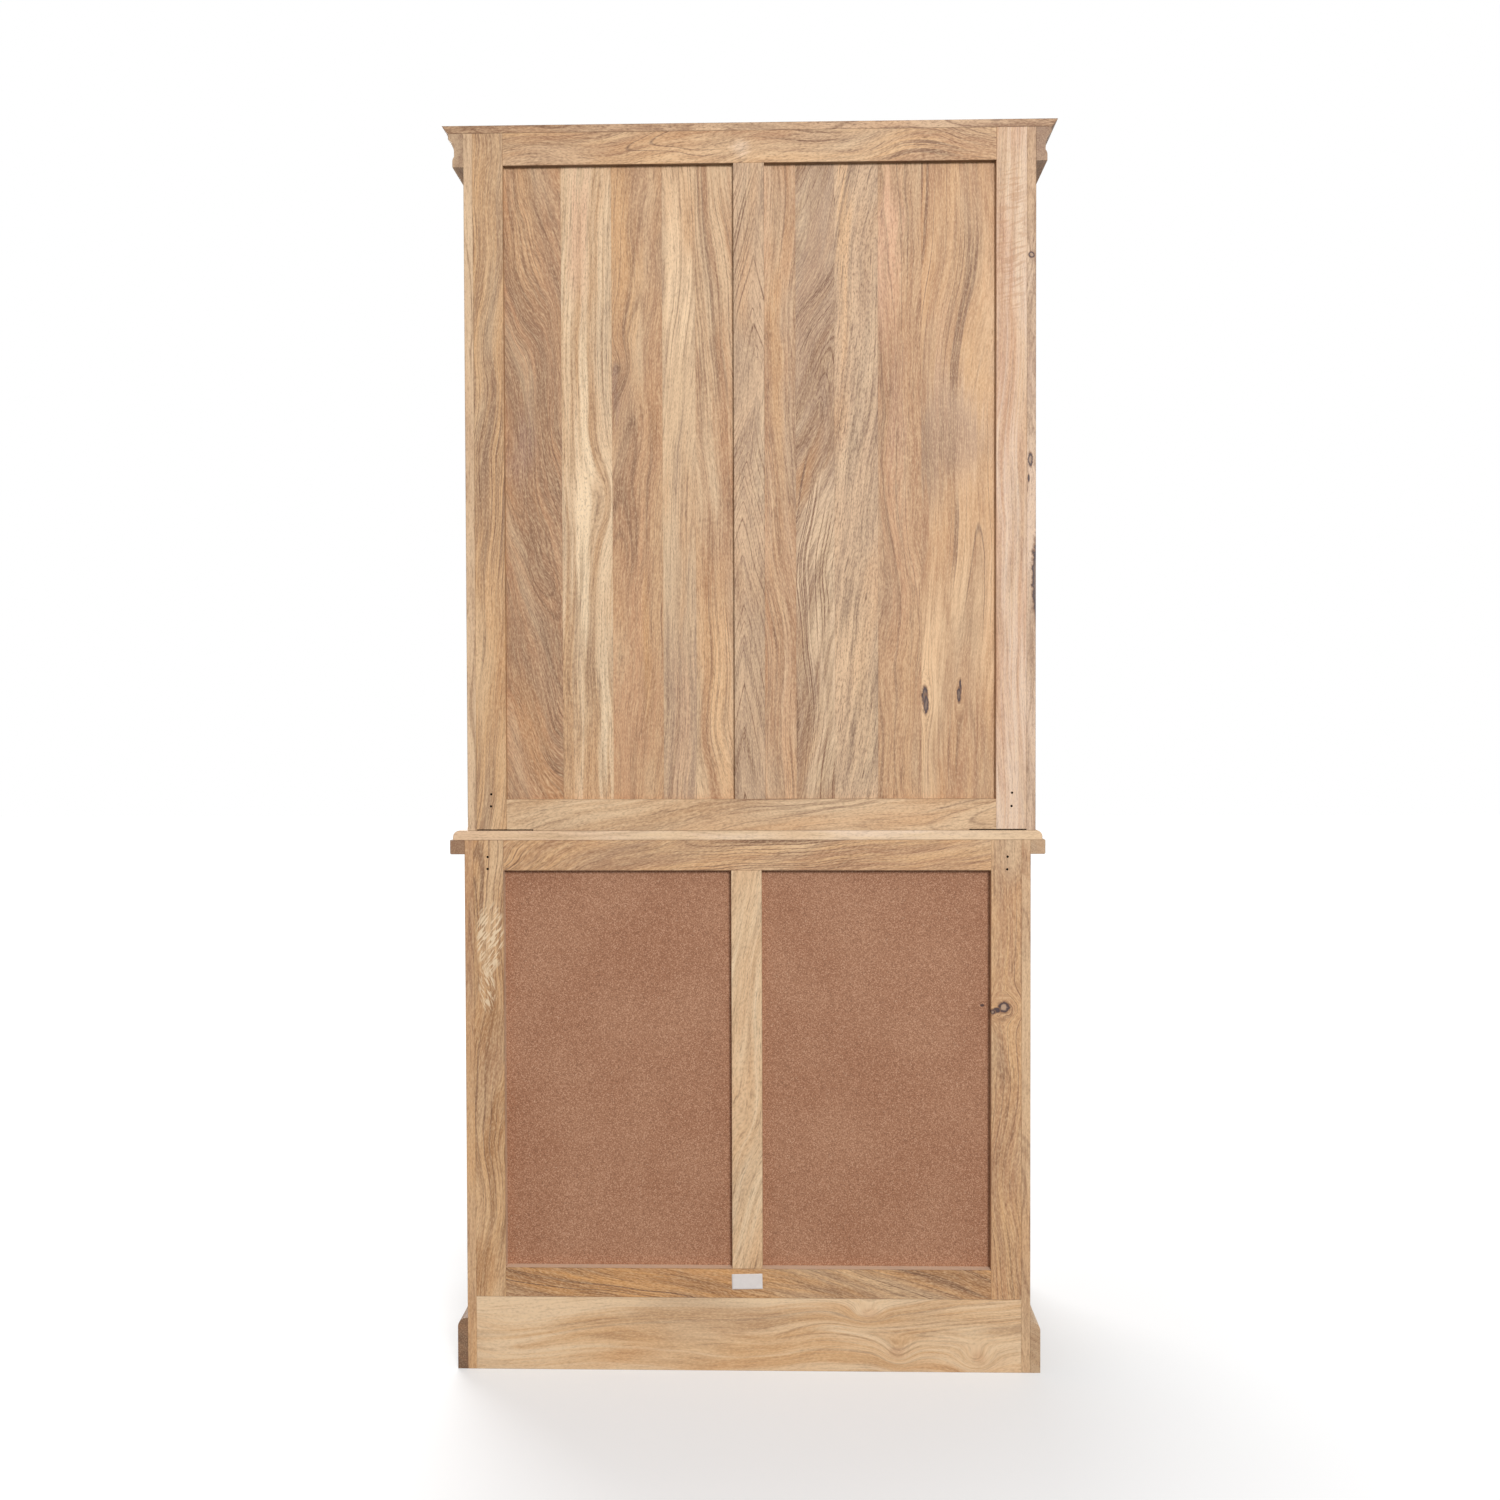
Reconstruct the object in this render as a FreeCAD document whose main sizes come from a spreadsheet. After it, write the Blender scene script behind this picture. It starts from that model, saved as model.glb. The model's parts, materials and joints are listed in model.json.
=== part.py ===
import FreeCAD, Part
import math
import os
import Sketcher

# Two-part wooden cupboard: a glazed upper unit that stands on a panelled base unit.
# Millimetres. +Z is up, the doors face -Y and the back stands at +Y. Left is -X, seen from the front.
# The origin is on the floor, in the middle of the space that the cupboard takes up.

doc = FreeCAD.newDocument("cupboard")
sheet = doc.addObject("Spreadsheet::Sheet", "Sizes")

# Driving dimensions

SIZES = (
    # Carcass of the base unit, and how far its middle stands to the right of the upper unit's
    ("base_width", 954.0),
    ("base_depth", 420.0),
    ("base_height", 902.0),
    ("base_shift", 7.0),
    # Carcass of the upper unit, a little wider than the base
    ("upper_extra_width", 2.0),
    ("upper_depth", 360.0),
    ("upper_height", 1169.0),
    # Boards of both units
    ("side_thick", 20.0),
    ("rear_strip", 15.0),
    ("bottom_thick", 20.0),
    ("shelf_thick", 18.0),
    ("shelf_setback", 6.0),
    ("shelf_round", 4.0),
    ("housing_depth", 6.0),
    ("fit_clear", 0.1),
    # Back frames and their panels
    ("back_thick", 22.0),
    ("back_stile_width", 51.0),
    ("muntin_width", 51.5),
    ("base_back_top_width", 51.5),
    ("base_back_low_width", 50.0),
    ("upper_back_top_width", 54.0),
    ("upper_back_low_width", 53.0),
    ("foot_relief", 2.0),
    ("foot_relief_length", 45.0),
    ("solid_panel_thick", 11.0),
    ("fibre_panel_thick", 5.0),
    ("panel_lap", 8.0),
    ("back_tenon_cheek", 3.0),
    ("tenon_thick", 7.0),
    ("tenon_length", 24.0),
    ("tenon_shoulder", 9.0),
    ("mortise_end_clear", 1.0),
    # Plinth
    ("plinth_back_height", 124.5),
    ("plinth_height", 87.0),
    ("plinth_thick", 17.0),
    ("plinth_round", 15.0),
    # Waist board and the moulding under it
    ("waist_thick", 16.0),
    ("waist_reach", 19.5),
    ("waist_round", 11.0),
    ("waist_mould_reach", 24.5),
    ("waist_mould_height", 24.0),
    ("waist_mould_round", 2.5),
    # Crown board and the moulding under it
    ("crown_thick", 13.0),
    ("crown_reach", 36.0),
    ("crown_bevel", 9.5),
    ("crown_mould_height", 56.0),
    ("crown_mould_reach", 25.5),
    ("crown_fascia_height", 9.0),
    ("crown_neck_reach", 15.5),
    ("crown_neck_high", 26.0),
    ("crown_neck_low", 18.0),
    ("crown_cove_radius", 30.0),
    ("crown_bead_reach", 18.5),
    ("crown_bead_high", 11.0),
    ("crown_bead_radius", 14.0),
    # Face frames
    ("face_thick", 20.0),
    ("face_stile_width", 45.0),
    ("face_arris", 1.5),
    ("face_tenon_cheek", 6.5),
    ("base_face_top_width", 45.0),
    ("upper_face_top_width", 102.0),
    ("upper_face_low_width", 40.0),
    # Doors
    ("door_gap", 2.0),
    ("meeting_gap", 2.4),
    ("door_arris", 1.5),
    ("base_door_stile", 60.0),
    ("base_door_top", 60.0),
    ("base_door_low", 76.0),
    ("upper_door_stile", 50.0),
    ("upper_door_top", 52.0),
    ("upper_door_low", 70.0),
    ("door_groove_width", 6.0),
    ("door_groove_depth", 9.0),
    ("door_groove_back", 7.0),
    ("field_rise", 5.0),
    ("field_margin", 40.0),
    ("field_start", 3.0),
    ("pane_lap", 8.0),
    ("pane_thick", 4.0),
    ("pane_front", 10.0),
    ("pane_clear", 0.2),
    ("pane_tenon_cheek", 2.5),
    ("bar_width", 18.0),
    ("bar_bevel", 5.0),
    # Butt hinges
    ("hinge_height", 64.0),
    ("hinge_inset", 90.0),
    ("leaf_width", 17.0),
    ("leaf_thick", 1.6),
    ("leaf_clear", 0.4),
    ("barrel_radius", 3.6),
    ("barrel_clear", 0.3),
    ("knuckle_clear", 0.25),
    ("pin_radius", 1.7),
    ("pin_clear", 0.05),
    ("pin_stand", 0.8),
    # Knobs
    ("knob_reach", 30.0),
    ("knob_radius", 15.0),
    ("knob_rose_radius", 11.5),
    ("knob_rose_thick", 2.5),
    ("knob_neck_radius", 5.5),
    ("knob_neck_reach", 12.0),
    ("knob_under_reach", 19.0),
    ("knob_rim_reach", 25.0),
    ("knob_crown_radius", 8.5),
    ("spigot_radius", 3.0),
    ("spigot_length", 14.0),
    ("base_knob_drop", 95.0),
    ("upper_knob_rise", 330.0),
    # Magnetic catches
    ("catch_width", 46.0),
    ("catch_height", 34.0),
    ("catch_thick", 13.0),
    ("catch_drop", 17.0),
    ("catch_setback", 1.4),
    ("catch_inset", 30.0),
    # Lets every cut run out past its piece
    ("overrun", 5.0),
)

HALF_SHARE = 0.5
BAR_ROWS = 3
UPPER_HINGES = 3
BASE_HINGES = 2
KNUCKLES = 3
CUBIC_MM_PER_CM3 = 1000

# Widths of the five glued boards as shares of each upper back panel, from its -X edge to its +X edge
LEFT_BOARD_SHARES = (0.327, 0.181, 0.181, 0.161, 0.150)
RIGHT_BOARD_SHARES = (0.181, 0.138, 0.212, 0.212, 0.257)


class Size:
    """A length in millimetres, with the formula by which the document keeps it."""

    def __init__(self, value, formula):
        self.value = value
        self.formula = formula

    def joined(self, sign, other, value):
        return Size(value, "(" + self.formula + " " + sign + " " + other.formula + ")")

    def __add__(self, other):
        other = as_size(other)
        return self.joined("+", other, self.value + other.value)

    def __sub__(self, other):
        other = as_size(other)
        return self.joined("-", other, self.value - other.value)

    def __mul__(self, other):
        other = as_size(other)
        return self.joined("*", other, self.value * other.value)

    def __truediv__(self, other):
        other = as_size(other)
        return self.joined("/", other, self.value / other.value)

    def __neg__(self):
        return Size(-self.value, "(0 - " + self.formula + ")")

    __radd__ = __add__
    __rmul__ = __mul__


def as_size(number):
    """Lets a plain count, share or zero stand in a sum of sizes."""
    if isinstance(number, Size):
        return number
    return Size(float(number), "(" + repr(number) + ")")


def fill_sheet():
    """Writes the driving dimensions into the sheet, one row each, and returns them by name."""
    named = {}
    for row, (alias, value) in enumerate(SIZES, start=1):
        sheet.set("A" + str(row), alias)
        sheet.set("B" + str(row), repr(value))
        sheet.setAlias("B" + str(row), alias)
        named[alias] = Size(value, "Sizes." + alias)
    doc.recompute()
    return named


S = fill_sheet()


def bind(thing, path, size):
    """Ties one property of an object to its size in the sheet."""
    thing.setExpression(path, as_size(size).formula)


def place(thing, corner):
    for axis, size in zip("xyz", corner):
        bind(thing, "Placement.Base." + axis, size)


# Sketches and features

def rectangle(low, high):
    """The four corners of an upright rectangle, from its low and its high corner."""
    return [(low[0], low[1]), (high[0], low[1]), (high[0], high[1]), (low[0], high[1])]


def flat(point):
    return FreeCAD.Vector(as_size(point[0]).value, as_size(point[1]).value, 0)


def arc_between(start, finish, radius, side):
    """The short arc from start to finish, its centre to the left of the way there when side is 1."""
    chord = finish - start
    middle = (start + finish) * HALF_SHARE
    rise = math.sqrt(max(radius ** 2 - (chord.Length / 2) ** 2, 0))
    across = FreeCAD.Vector(-chord.y, chord.x, 0) / chord.Length
    centre = middle + across * (rise * side)
    circle = Part.Circle(centre, FreeCAD.Vector(0, 0, 1), radius)
    first = math.atan2(start.y - centre.y, start.x - centre.x)
    last = math.atan2(finish.y - centre.y, finish.x - centre.x)
    if side > 0:
        return Part.ArcOfCircle(circle, first, last)
    return Part.ArcOfCircle(circle, last, first)


def draw(sketch, outline):
    """Closes an outline and binds each corner, and each arc's radius, to its sizes.

    A corner is (across, up). An arc ends at a corner of four entries: (across, up, radius, side).
    """
    count = len(outline)
    first = sketch.GeometryCount
    starts = []
    finishes = []
    for index, corner in enumerate(outline):
        after = outline[(index + 1) % count]
        if len(after) == 2:
            edge = Part.LineSegment(flat(corner), flat(after))
            turned = False
        else:
            edge = arc_between(flat(corner), flat(after), after[2].value, after[3])
            turned = after[3] < 0
        sketch.addGeometry(edge, False)
        starts.append(2 if turned else 1)
        finishes.append(1 if turned else 2)
        if len(after) == 4:
            made = sketch.addConstraint(Sketcher.Constraint("Radius", first + index, after[2].value))
            sketch.setExpression("Constraints[%d]" % made, after[2].formula)
    for index, corner in enumerate(outline):
        before = (index - 1) % count
        sketch.addConstraint(Sketcher.Constraint(
            "Coincident", first + before, finishes[before], first + index, starts[index]))
        for kind, number in (("DistanceX", corner[0]), ("DistanceY", corner[1])):
            length = as_size(number)
            made = sketch.addConstraint(Sketcher.Constraint(
                kind, -1, 1, first + index, starts[index], length.value))
            sketch.setExpression("Constraints[%d]" % made, length.formula)


def sketch_on(body, plane, outlines, lift=0):
    """A sketch on one of the body's own planes (XY, XZ or YZ), lifted off it by a size."""
    sketch = body.newObject("Sketcher::SketchObject", body.Name + "_outline")
    role = plane + "_Plane"
    support = [item for item in body.Origin.OriginFeatures if item.Role == role][0]
    sketch.AttachmentSupport = [(support, "")]
    sketch.MapMode = "FlatFace"
    bind(sketch, "AttachmentOffset.Base.z", lift)
    for outline in outlines:
        draw(sketch, outline)
    return sketch


def circle_on(body, plane, centre, radius, lift=0):
    """A sketch of one circle, its centre and radius bound to their sizes."""
    sketch = sketch_on(body, plane, [], lift)
    sketch.addGeometry(Part.Circle(flat(centre), FreeCAD.Vector(0, 0, 1), radius.value), False)
    for kind, number in (("DistanceX", centre[0]), ("DistanceY", centre[1])):
        length = as_size(number)
        made = sketch.addConstraint(Sketcher.Constraint(kind, -1, 1, 0, 3, length.value))
        sketch.setExpression("Constraints[%d]" % made, length.formula)
    made = sketch.addConstraint(Sketcher.Constraint("Radius", 0, radius.value))
    sketch.setExpression("Constraints[%d]" % made, radius.formula)
    return sketch


def new_body(label, corner):
    body = doc.addObject("PartDesign::Body", label)
    body.Label = label
    place(body, corner)
    return body


def pad(body, sketch, length, reverse=False):
    """Adds a pad. XY pads rise along +Z, YZ pads run along +X and XZ pads run along -Y."""
    feature = body.newObject("PartDesign::Pad", body.Name + "_pad")
    feature.Profile = sketch
    bind(feature, "Length", length)
    feature.Reversed = reverse
    return feature


def pocket(body, sketch, depth, reverse=False):
    """Cuts a pocket, against the way a pad on that plane would run unless it is reversed."""
    feature = body.newObject("PartDesign::Pocket", body.Name + "_pocket")
    feature.Profile = sketch
    bind(feature, "Length", depth)
    feature.Reversed = reverse
    return feature


def plain_board(label, corner, lengths):
    """A board with square edges."""
    board = doc.addObject("Part::Box", label)
    board.Label = label
    place(board, corner)
    for side, length in zip(("Length", "Width", "Height"), lengths):
        bind(board, side, length)
    return board


def mirrored(label, source, middle):
    """The right-hand piece of a pair: its left-hand piece seen in the unit's middle plane."""
    copy = doc.addObject("Part::Mirroring", label)
    copy.Label = label
    copy.Source = source
    copy.Normal = FreeCAD.Vector(1, 0, 0)
    bind(copy, "Base.x", middle)
    return copy


def group(label, pieces):
    """Pieces that share a name, as solids of their own."""
    together = doc.addObject("Part::Compound", label)
    together.Label = label
    together.Links = pieces
    return together


nodes = []


def keep(piece):
    """Notes a finished sub-part for the checks and the files at the end."""
    nodes.append(piece)
    return piece


# Places that both units share

back_y = (S["base_depth"] + S["knob_reach"]) / 2
base_face_y = back_y - S["base_depth"]
upper_face_y = back_y - S["upper_depth"]
waist_top_z = S["base_height"] + S["waist_thick"]
crown_z = waist_top_z + S["upper_height"]
rebate_depth = S["side_thick"] - S["rear_strip"]


class Unit:
    """One carcass: its middle, width, depth, feet and top, and the places that follow from them."""

    def __init__(self, name, middle, width, depth, low, high):
        self.name = name
        self.middle = middle
        self.width = width
        self.depth = depth
        self.low = low
        self.high = high
        self.left = middle - width / 2
        self.face_y = back_y - depth
        self.inner_y = self.face_y + S["face_thick"]
        self.frame_y = back_y - S["back_thick"]
        self.inside_width = width - S["side_thick"] * 2
        self.back_sight = width - (S["rear_strip"] + S["back_stile_width"]) * 2
        self.face_sight = width - S["face_stile_width"] * 2


base = Unit("base", S["base_shift"], S["base_width"], S["base_depth"], as_size(0), S["base_height"])
upper = Unit("upper", as_size(0), S["base_width"] + S["upper_extra_width"], S["upper_depth"],
             waist_top_z, crown_z)


# Carcass boards

def carcass_side(unit, housings):
    """A side board, rebated at its rear inner edge for the back frame and housed for its boards."""
    depth = unit.depth - S["face_thick"]
    shelf_depth = depth - S["back_thick"]
    body = new_body(unit.name + "_side_left", (unit.left, unit.inner_y, unit.low))
    outline = [
        (0, 0),
        (S["side_thick"], 0),
        (S["side_thick"], shelf_depth),
        (S["rear_strip"], shelf_depth),
        (S["rear_strip"], depth),
        (0, depth),
    ]
    pad(body, sketch_on(body, "XY", [outline]), unit.high - unit.low)
    slots = []
    for low, thick in housings:
        slot_low = low - unit.low
        slots.append(rectangle(
            (-S["overrun"], slot_low), (shelf_depth + S["overrun"], slot_low + thick + S["fit_clear"])))
    pocket(body, sketch_on(body, "YZ", slots, S["side_thick"]), S["housing_depth"])
    keep(body)
    keep(mirrored(unit.name + "_side_right", body, unit.middle))


def housed_board(label, unit, low, thick, setback, edge_round):
    """A board that runs from one side's housing to the other's, its front edge rounded if asked."""
    length = unit.inside_width + (S["housing_depth"] - S["fit_clear"]) * 2
    depth = unit.depth - S["face_thick"] - S["back_thick"] - setback
    left = unit.middle - length / 2
    body = new_body(label, (left, unit.inner_y + setback, low))
    if edge_round is None:
        outline = rectangle((0, 0), (depth, thick))
    else:
        outline = [
            (edge_round, 0, edge_round, 1),
            (depth, 0),
            (depth, thick),
            (edge_round, thick),
            (0, thick - edge_round, edge_round, 1),
            (0, edge_round),
        ]
    pad(body, sketch_on(body, "YZ", [outline]), length)
    return body


# Back frames: stiles that run through, rails and a muntin tenoned between them, panels let in from inside

back_tenon_y = S["back_thick"] - S["back_tenon_cheek"] - S["tenon_thick"]
tenon_far_y = back_tenon_y + S["tenon_thick"]
mortise_depth = S["tenon_length"] + S["mortise_end_clear"]


def back_frame(unit, low, foot, top_width, low_width, relief, panel_thick):
    """The frame at the back of a unit, in its own frame's X from the left stile's outer edge.

    low is the underside of the bottom rail, foot that of the stiles.
    """
    lap = S["panel_lap"]
    deep = S["back_thick"]
    stile = S["back_stile_width"]
    shoulder = S["tenon_shoulder"]
    clear = S["fit_clear"]
    stile_x = unit.left + S["rear_strip"]
    rail_x = stile_x + stile
    name = unit.name + "_back_"
    top_low = unit.high - top_width
    panel_low = low + low_width

    body = new_body(name + "stile_left", (stile_x, unit.frame_y, foot))
    outline = [
        (0, 0),
        (stile - lap, 0),
        (stile - lap, panel_thick),
        (stile, panel_thick),
        (stile, deep),
        (0, deep),
    ]
    pad(body, sketch_on(body, "XY", [outline]), unit.high - foot)
    mortises = []
    for rail_low, rail_high in ((low - foot, panel_low - foot), (top_low - foot, unit.high - foot)):
        mortises.append(rectangle(
            (back_tenon_y - clear, rail_low + shoulder - clear),
            (tenon_far_y + clear, rail_high - shoulder + clear)))
    pocket(body, sketch_on(body, "YZ", mortises, stile), mortise_depth)
    keep(body)
    keep(mirrored(name + "stile_right", body, unit.middle))

    sight = unit.back_sight
    muntin = S["muntin_width"]
    muntin_tenon = ((sight - muntin) / 2 + shoulder, (sight + muntin) / 2 - shoulder)
    muntin_mortise = rectangle(
        (muntin_tenon[0] - clear, back_tenon_y - clear), (muntin_tenon[1] + clear, tenon_far_y + clear))

    def rail(label, rail_low, width, rebate_at_top, notch):
        body = new_body(label, (rail_x, unit.frame_y, rail_low))
        if rebate_at_top:
            outline = [(0, 0), (deep, 0), (deep, width), (panel_thick, width),
                       (panel_thick, width - lap), (0, width - lap)]
            inner = rectangle((0, 0), (panel_thick, width - lap))
        else:
            outline = [(panel_thick, 0), (deep, 0), (deep, width), (0, width),
                       (0, lap), (panel_thick, lap)]
            inner = rectangle((0, lap), (panel_thick, width))
        pad(body, sketch_on(body, "YZ", [outline]), sight)
        pad(body, sketch_on(body, "YZ", [inner], -lap), sight + lap * 2)
        tenon = rectangle((back_tenon_y, shoulder), (tenon_far_y, width - shoulder))
        pad(body, sketch_on(body, "YZ", [tenon], -S["tenon_length"]), sight + S["tenon_length"] * 2)
        if rebate_at_top:
            pocket(body, sketch_on(body, "XY", [muntin_mortise], width), mortise_depth)
        else:
            pocket(body, sketch_on(body, "XY", [muntin_mortise]), mortise_depth, True)
        if notch is not None:
            cuts = [
                rectangle((-lap - S["overrun"], -S["overrun"]), (S["foot_relief_length"], notch)),
                rectangle((sight - S["foot_relief_length"], -S["overrun"]),
                          (sight + lap + S["overrun"], notch)),
            ]
            pocket(body, sketch_on(body, "XZ", cuts), deep + S["overrun"])
        return keep(body)

    rail(name + "bottom_rail", low, low_width, True, relief)
    rail(name + "top_rail", top_low, top_width, False, None)

    height = top_low - panel_low
    body = new_body(name + "muntin", (rail_x + (sight - muntin) / 2, unit.frame_y, panel_low))
    outline = [
        (lap, 0),
        (muntin - lap, 0),
        (muntin - lap, panel_thick),
        (muntin, panel_thick),
        (muntin, deep),
        (0, deep),
        (0, panel_thick),
        (lap, panel_thick),
    ]
    inner = rectangle((lap, 0), (muntin - lap, panel_thick))
    tenon = rectangle((shoulder, back_tenon_y), (muntin - shoulder, tenon_far_y))
    pad(body, sketch_on(body, "XY", [outline]), height)
    pad(body, sketch_on(body, "XY", [inner], -lap), height + lap * 2)
    pad(body, sketch_on(body, "XY", [tenon], -S["tenon_length"]), height + S["tenon_length"] * 2)
    keep(body)

    opening = (sight - muntin) / 2
    panel_size = (opening + (lap - clear) * 2, panel_thick, height + (lap - clear) * 2)
    left = (rail_x - lap + clear, unit.frame_y, panel_low - lap + clear)
    right = (rail_x + opening + muntin - lap + clear, left[1], left[2])
    return left, right, panel_size


def glued_panel(label, corner, lengths, shares):
    """Boards glued edge to edge, each a solid of its own, that fill one panel between them."""
    boards = []
    left = corner[0]
    for number, share in enumerate(shares, start=1):
        width = lengths[0] * share
        boards.append(plain_board(
            label + "_board_" + str(number), (left, corner[1], corner[2]), (width, lengths[1], lengths[2])))
        left = left + width
    return keep(group(label, boards))


# Mouldings that run round the front and both sides, mitred at the front corners

def mouldings(prefix, unit, low, outline, reach):
    """Left, right and front lengths of one moulding. outline gives (outward, up) from the carcass."""
    turned = []
    for corner in outline:
        turned.append((-as_size(corner[0]),) + tuple(corner[1:]))
    past = reach + S["overrun"]

    body = new_body(prefix + "_moulding_left", (unit.left, back_y, low))
    pad(body, sketch_on(body, "XZ", [turned]), unit.depth + reach)
    mitre = [(0, -unit.depth), (-past, -unit.depth - past), (0, -unit.depth - past)]
    cut = pocket(body, sketch_on(body, "XY", [mitre]), reach, True)
    cut.Type = "ThroughAll"
    keep(body)
    keep(mirrored(prefix + "_moulding_right", body, unit.middle))

    half = unit.width / 2
    body = new_body(prefix + "_moulding_front", (unit.middle, unit.face_y, low))
    pad(body, sketch_on(body, "YZ", [turned], -half - reach), unit.width + reach * 2)
    mitres = [
        [(-half, 0), (-half - past, 0), (-half - past, -past)],
        [(half, 0), (half + past, -past), (half + past, 0)],
    ]
    cut = pocket(body, sketch_on(body, "XY", mitres), reach, True)
    cut.Type = "ThroughAll"
    keep(body)


def crown_outline():
    """Fascia, cove, neck and bead, from the crown board down."""
    high = S["crown_mould_height"]
    return [
        (0, 0),
        (S["crown_bead_reach"], 0),
        (S["crown_bead_reach"], S["crown_bead_high"]),
        (S["crown_neck_reach"], S["crown_neck_low"], S["crown_bead_radius"], 1),
        (S["crown_neck_reach"], S["crown_neck_high"]),
        (S["crown_mould_reach"], high - S["crown_fascia_height"], S["crown_cove_radius"], -1),
        (S["crown_mould_reach"], high),
        (0, high),
    ]


def plinth_outline():
    """A flat skirting with its top outer edge rounded over."""
    high = S["plinth_height"]
    thick = S["plinth_thick"]
    edge = S["plinth_round"]
    return [
        (0, 0),
        (thick, 0),
        (thick, high - edge),
        (thick - edge, high, edge, 1),
        (0, high),
    ]


def waist_outline():
    """A square batten with its lower outer edge eased."""
    high = S["waist_mould_height"]
    reach = S["waist_mould_reach"]
    edge = S["waist_mould_round"]
    return [
        (0, 0),
        (reach - edge, 0),
        (reach, edge, edge, 1),
        (reach, high),
        (0, high),
    ]


def flipped(outline):
    """Turns an outline inside out: the arcs change sides where outward becomes -X or -Y."""
    return [corner[:3] + (-corner[3],) if len(corner) == 4 else corner for corner in outline]


def crown_board():
    """The top board, its edge slanted inwards from the upper face to the lower on three sides."""
    half = upper.width / 2
    body = new_body("crown_board", (upper.middle, back_y, crown_z))
    wide = half + S["crown_reach"]
    deep = S["upper_depth"] + S["crown_reach"]
    bevel = S["crown_bevel"]
    lower = sketch_on(body, "XY", [rectangle((-wide + bevel, -deep + bevel), (wide - bevel, 0))])
    higher = sketch_on(body, "XY", [rectangle((-wide, -deep), (wide, 0))], S["crown_thick"])
    loft = body.newObject("PartDesign::AdditiveLoft", "crown_board_loft")
    loft.Profile = lower
    loft.Sections = [higher]
    loft.Ruled = True
    return keep(body)


def waist_board():
    """The base unit's top, its upper edge rounded over at the front and both ends."""
    half = S["base_width"] / 2 + S["waist_reach"]
    deep = S["base_depth"] + S["waist_reach"]
    body = new_body("waist_board", (base.middle, back_y, S["base_height"]))
    slab = pad(body, sketch_on(body, "XY", [rectangle((-half, -deep), (half, 0))]), S["waist_thick"])
    doc.recompute()
    chosen = []
    for number, edge in enumerate(slab.Shape.Edges, start=1):
        box = edge.BoundBox
        on_top = box.ZMin > S["waist_thick"].value * HALF_SHARE
        at_back = box.YMin > -deep.value * HALF_SHARE
        if on_top and not at_back:
            chosen.append("Edge" + str(number))
    rounded = body.newObject("PartDesign::Fillet", "waist_board_round")
    rounded.Base = (slab, chosen)
    bind(rounded, "Radius", S["waist_round"])
    return keep(body)


# Hinges. A hinge's own frame has its axis at x = y = 0 and its foot at z = 0; the frame's leaf is at -X.

leaf_recess = (S["leaf_thick"] * 2 + S["leaf_clear"] - S["door_gap"]) / 2
knuckle_height = S["hinge_height"] / KNUCKLES


def hinge_places(low, high, count):
    """The feet of the hinges of one door, evenly spread between its ends."""
    span = high - low - S["hinge_inset"] * 2 - S["hinge_height"]
    return [low + S["hinge_inset"] + span * number / (count - 1) for number in range(count)]


def hinge_leaf(label, corner, side, knuckles):
    """A leaf with the knuckles given as (low, high). side is -1 on the face frame, 1 on the door."""
    near = S["leaf_clear"] / 2
    far = near + S["leaf_thick"]
    start = S["barrel_radius"] + S["barrel_clear"]
    edges = (near, far) if side > 0 else (-far, -near)
    body = new_body(label, corner)
    plate = rectangle((edges[0], start), (edges[1], S["barrel_radius"] + S["leaf_width"]))
    pad(body, sketch_on(body, "XY", [plate]), S["hinge_height"])
    for low, high in knuckles:
        web = rectangle((edges[0], 0), (edges[1], start))
        pad(body, sketch_on(body, "XY", [web], low), high - low)
        pad(body, circle_on(body, "XY", (0, 0), S["barrel_radius"], low), high - low)
    bore = circle_on(body, "XY", (0, 0), S["pin_radius"] + S["pin_clear"])
    pocket(body, bore, S["hinge_height"] + S["overrun"], True)
    return body


def hinge_pin(label, corner):
    """A pin that runs through all the knuckles and stands out a little at both ends."""
    body = new_body(label, corner)
    outline = circle_on(body, "XY", (0, 0), S["pin_radius"], -S["pin_stand"])
    pad(body, outline, S["hinge_height"] + S["pin_stand"] * 2)
    return body


# Doors

def turned_knob(label, corner):
    """A turned knob on the door's face: spigot, rose, neck and a head that tapers both ways."""
    body = new_body(label, corner)
    outline = [
        (0, S["spigot_length"]),
        (0, -S["knob_reach"]),
        (S["knob_crown_radius"], -S["knob_reach"]),
        (S["knob_radius"], -S["knob_rim_reach"]),
        (S["knob_radius"], -S["knob_under_reach"]),
        (S["knob_neck_radius"], -S["knob_neck_reach"]),
        (S["knob_neck_radius"], -S["knob_rose_thick"]),
        (S["knob_rose_radius"], -S["knob_rose_thick"]),
        (S["knob_rose_radius"], 0),
        (S["spigot_radius"], 0),
        (S["spigot_radius"], S["spigot_length"]),
    ]
    sketch = sketch_on(body, "XY", [outline])
    turn = body.newObject("PartDesign::Revolution", label + "_turn")
    turn.Profile = sketch
    turn.ReferenceAxis = (sketch, ["V_Axis"])
    return body


def eased(width, deep):
    """A stile's outline with both front arrises taken off."""
    cut = S["door_arris"]
    return [(cut, 0), (width - cut, 0), (width, cut), (width, deep), (0, deep), (0, cut)]


class Door:
    """A door's places, from the opening that it fills in its unit's face frame."""

    def __init__(self, unit, low, high, stile, top, bottom):
        self.unit = unit
        self.name = unit.name + "_door_left"
        self.low = low + S["door_gap"]
        self.high = high - S["door_gap"]
        self.height = self.high - self.low
        self.left = unit.left + S["face_stile_width"] + S["door_gap"]
        self.width = unit.face_sight / 2 - S["door_gap"] - S["meeting_gap"] / 2
        self.stile = stile
        self.top = top
        self.bottom = bottom
        self.sight = self.width - stile * 2
        self.sight_low = self.low + bottom
        self.sight_height = self.height - top - bottom
        self.y = unit.face_y
        self.axis_x = self.left - S["door_gap"] / 2
        self.axis_y = unit.face_y - S["barrel_radius"]


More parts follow.
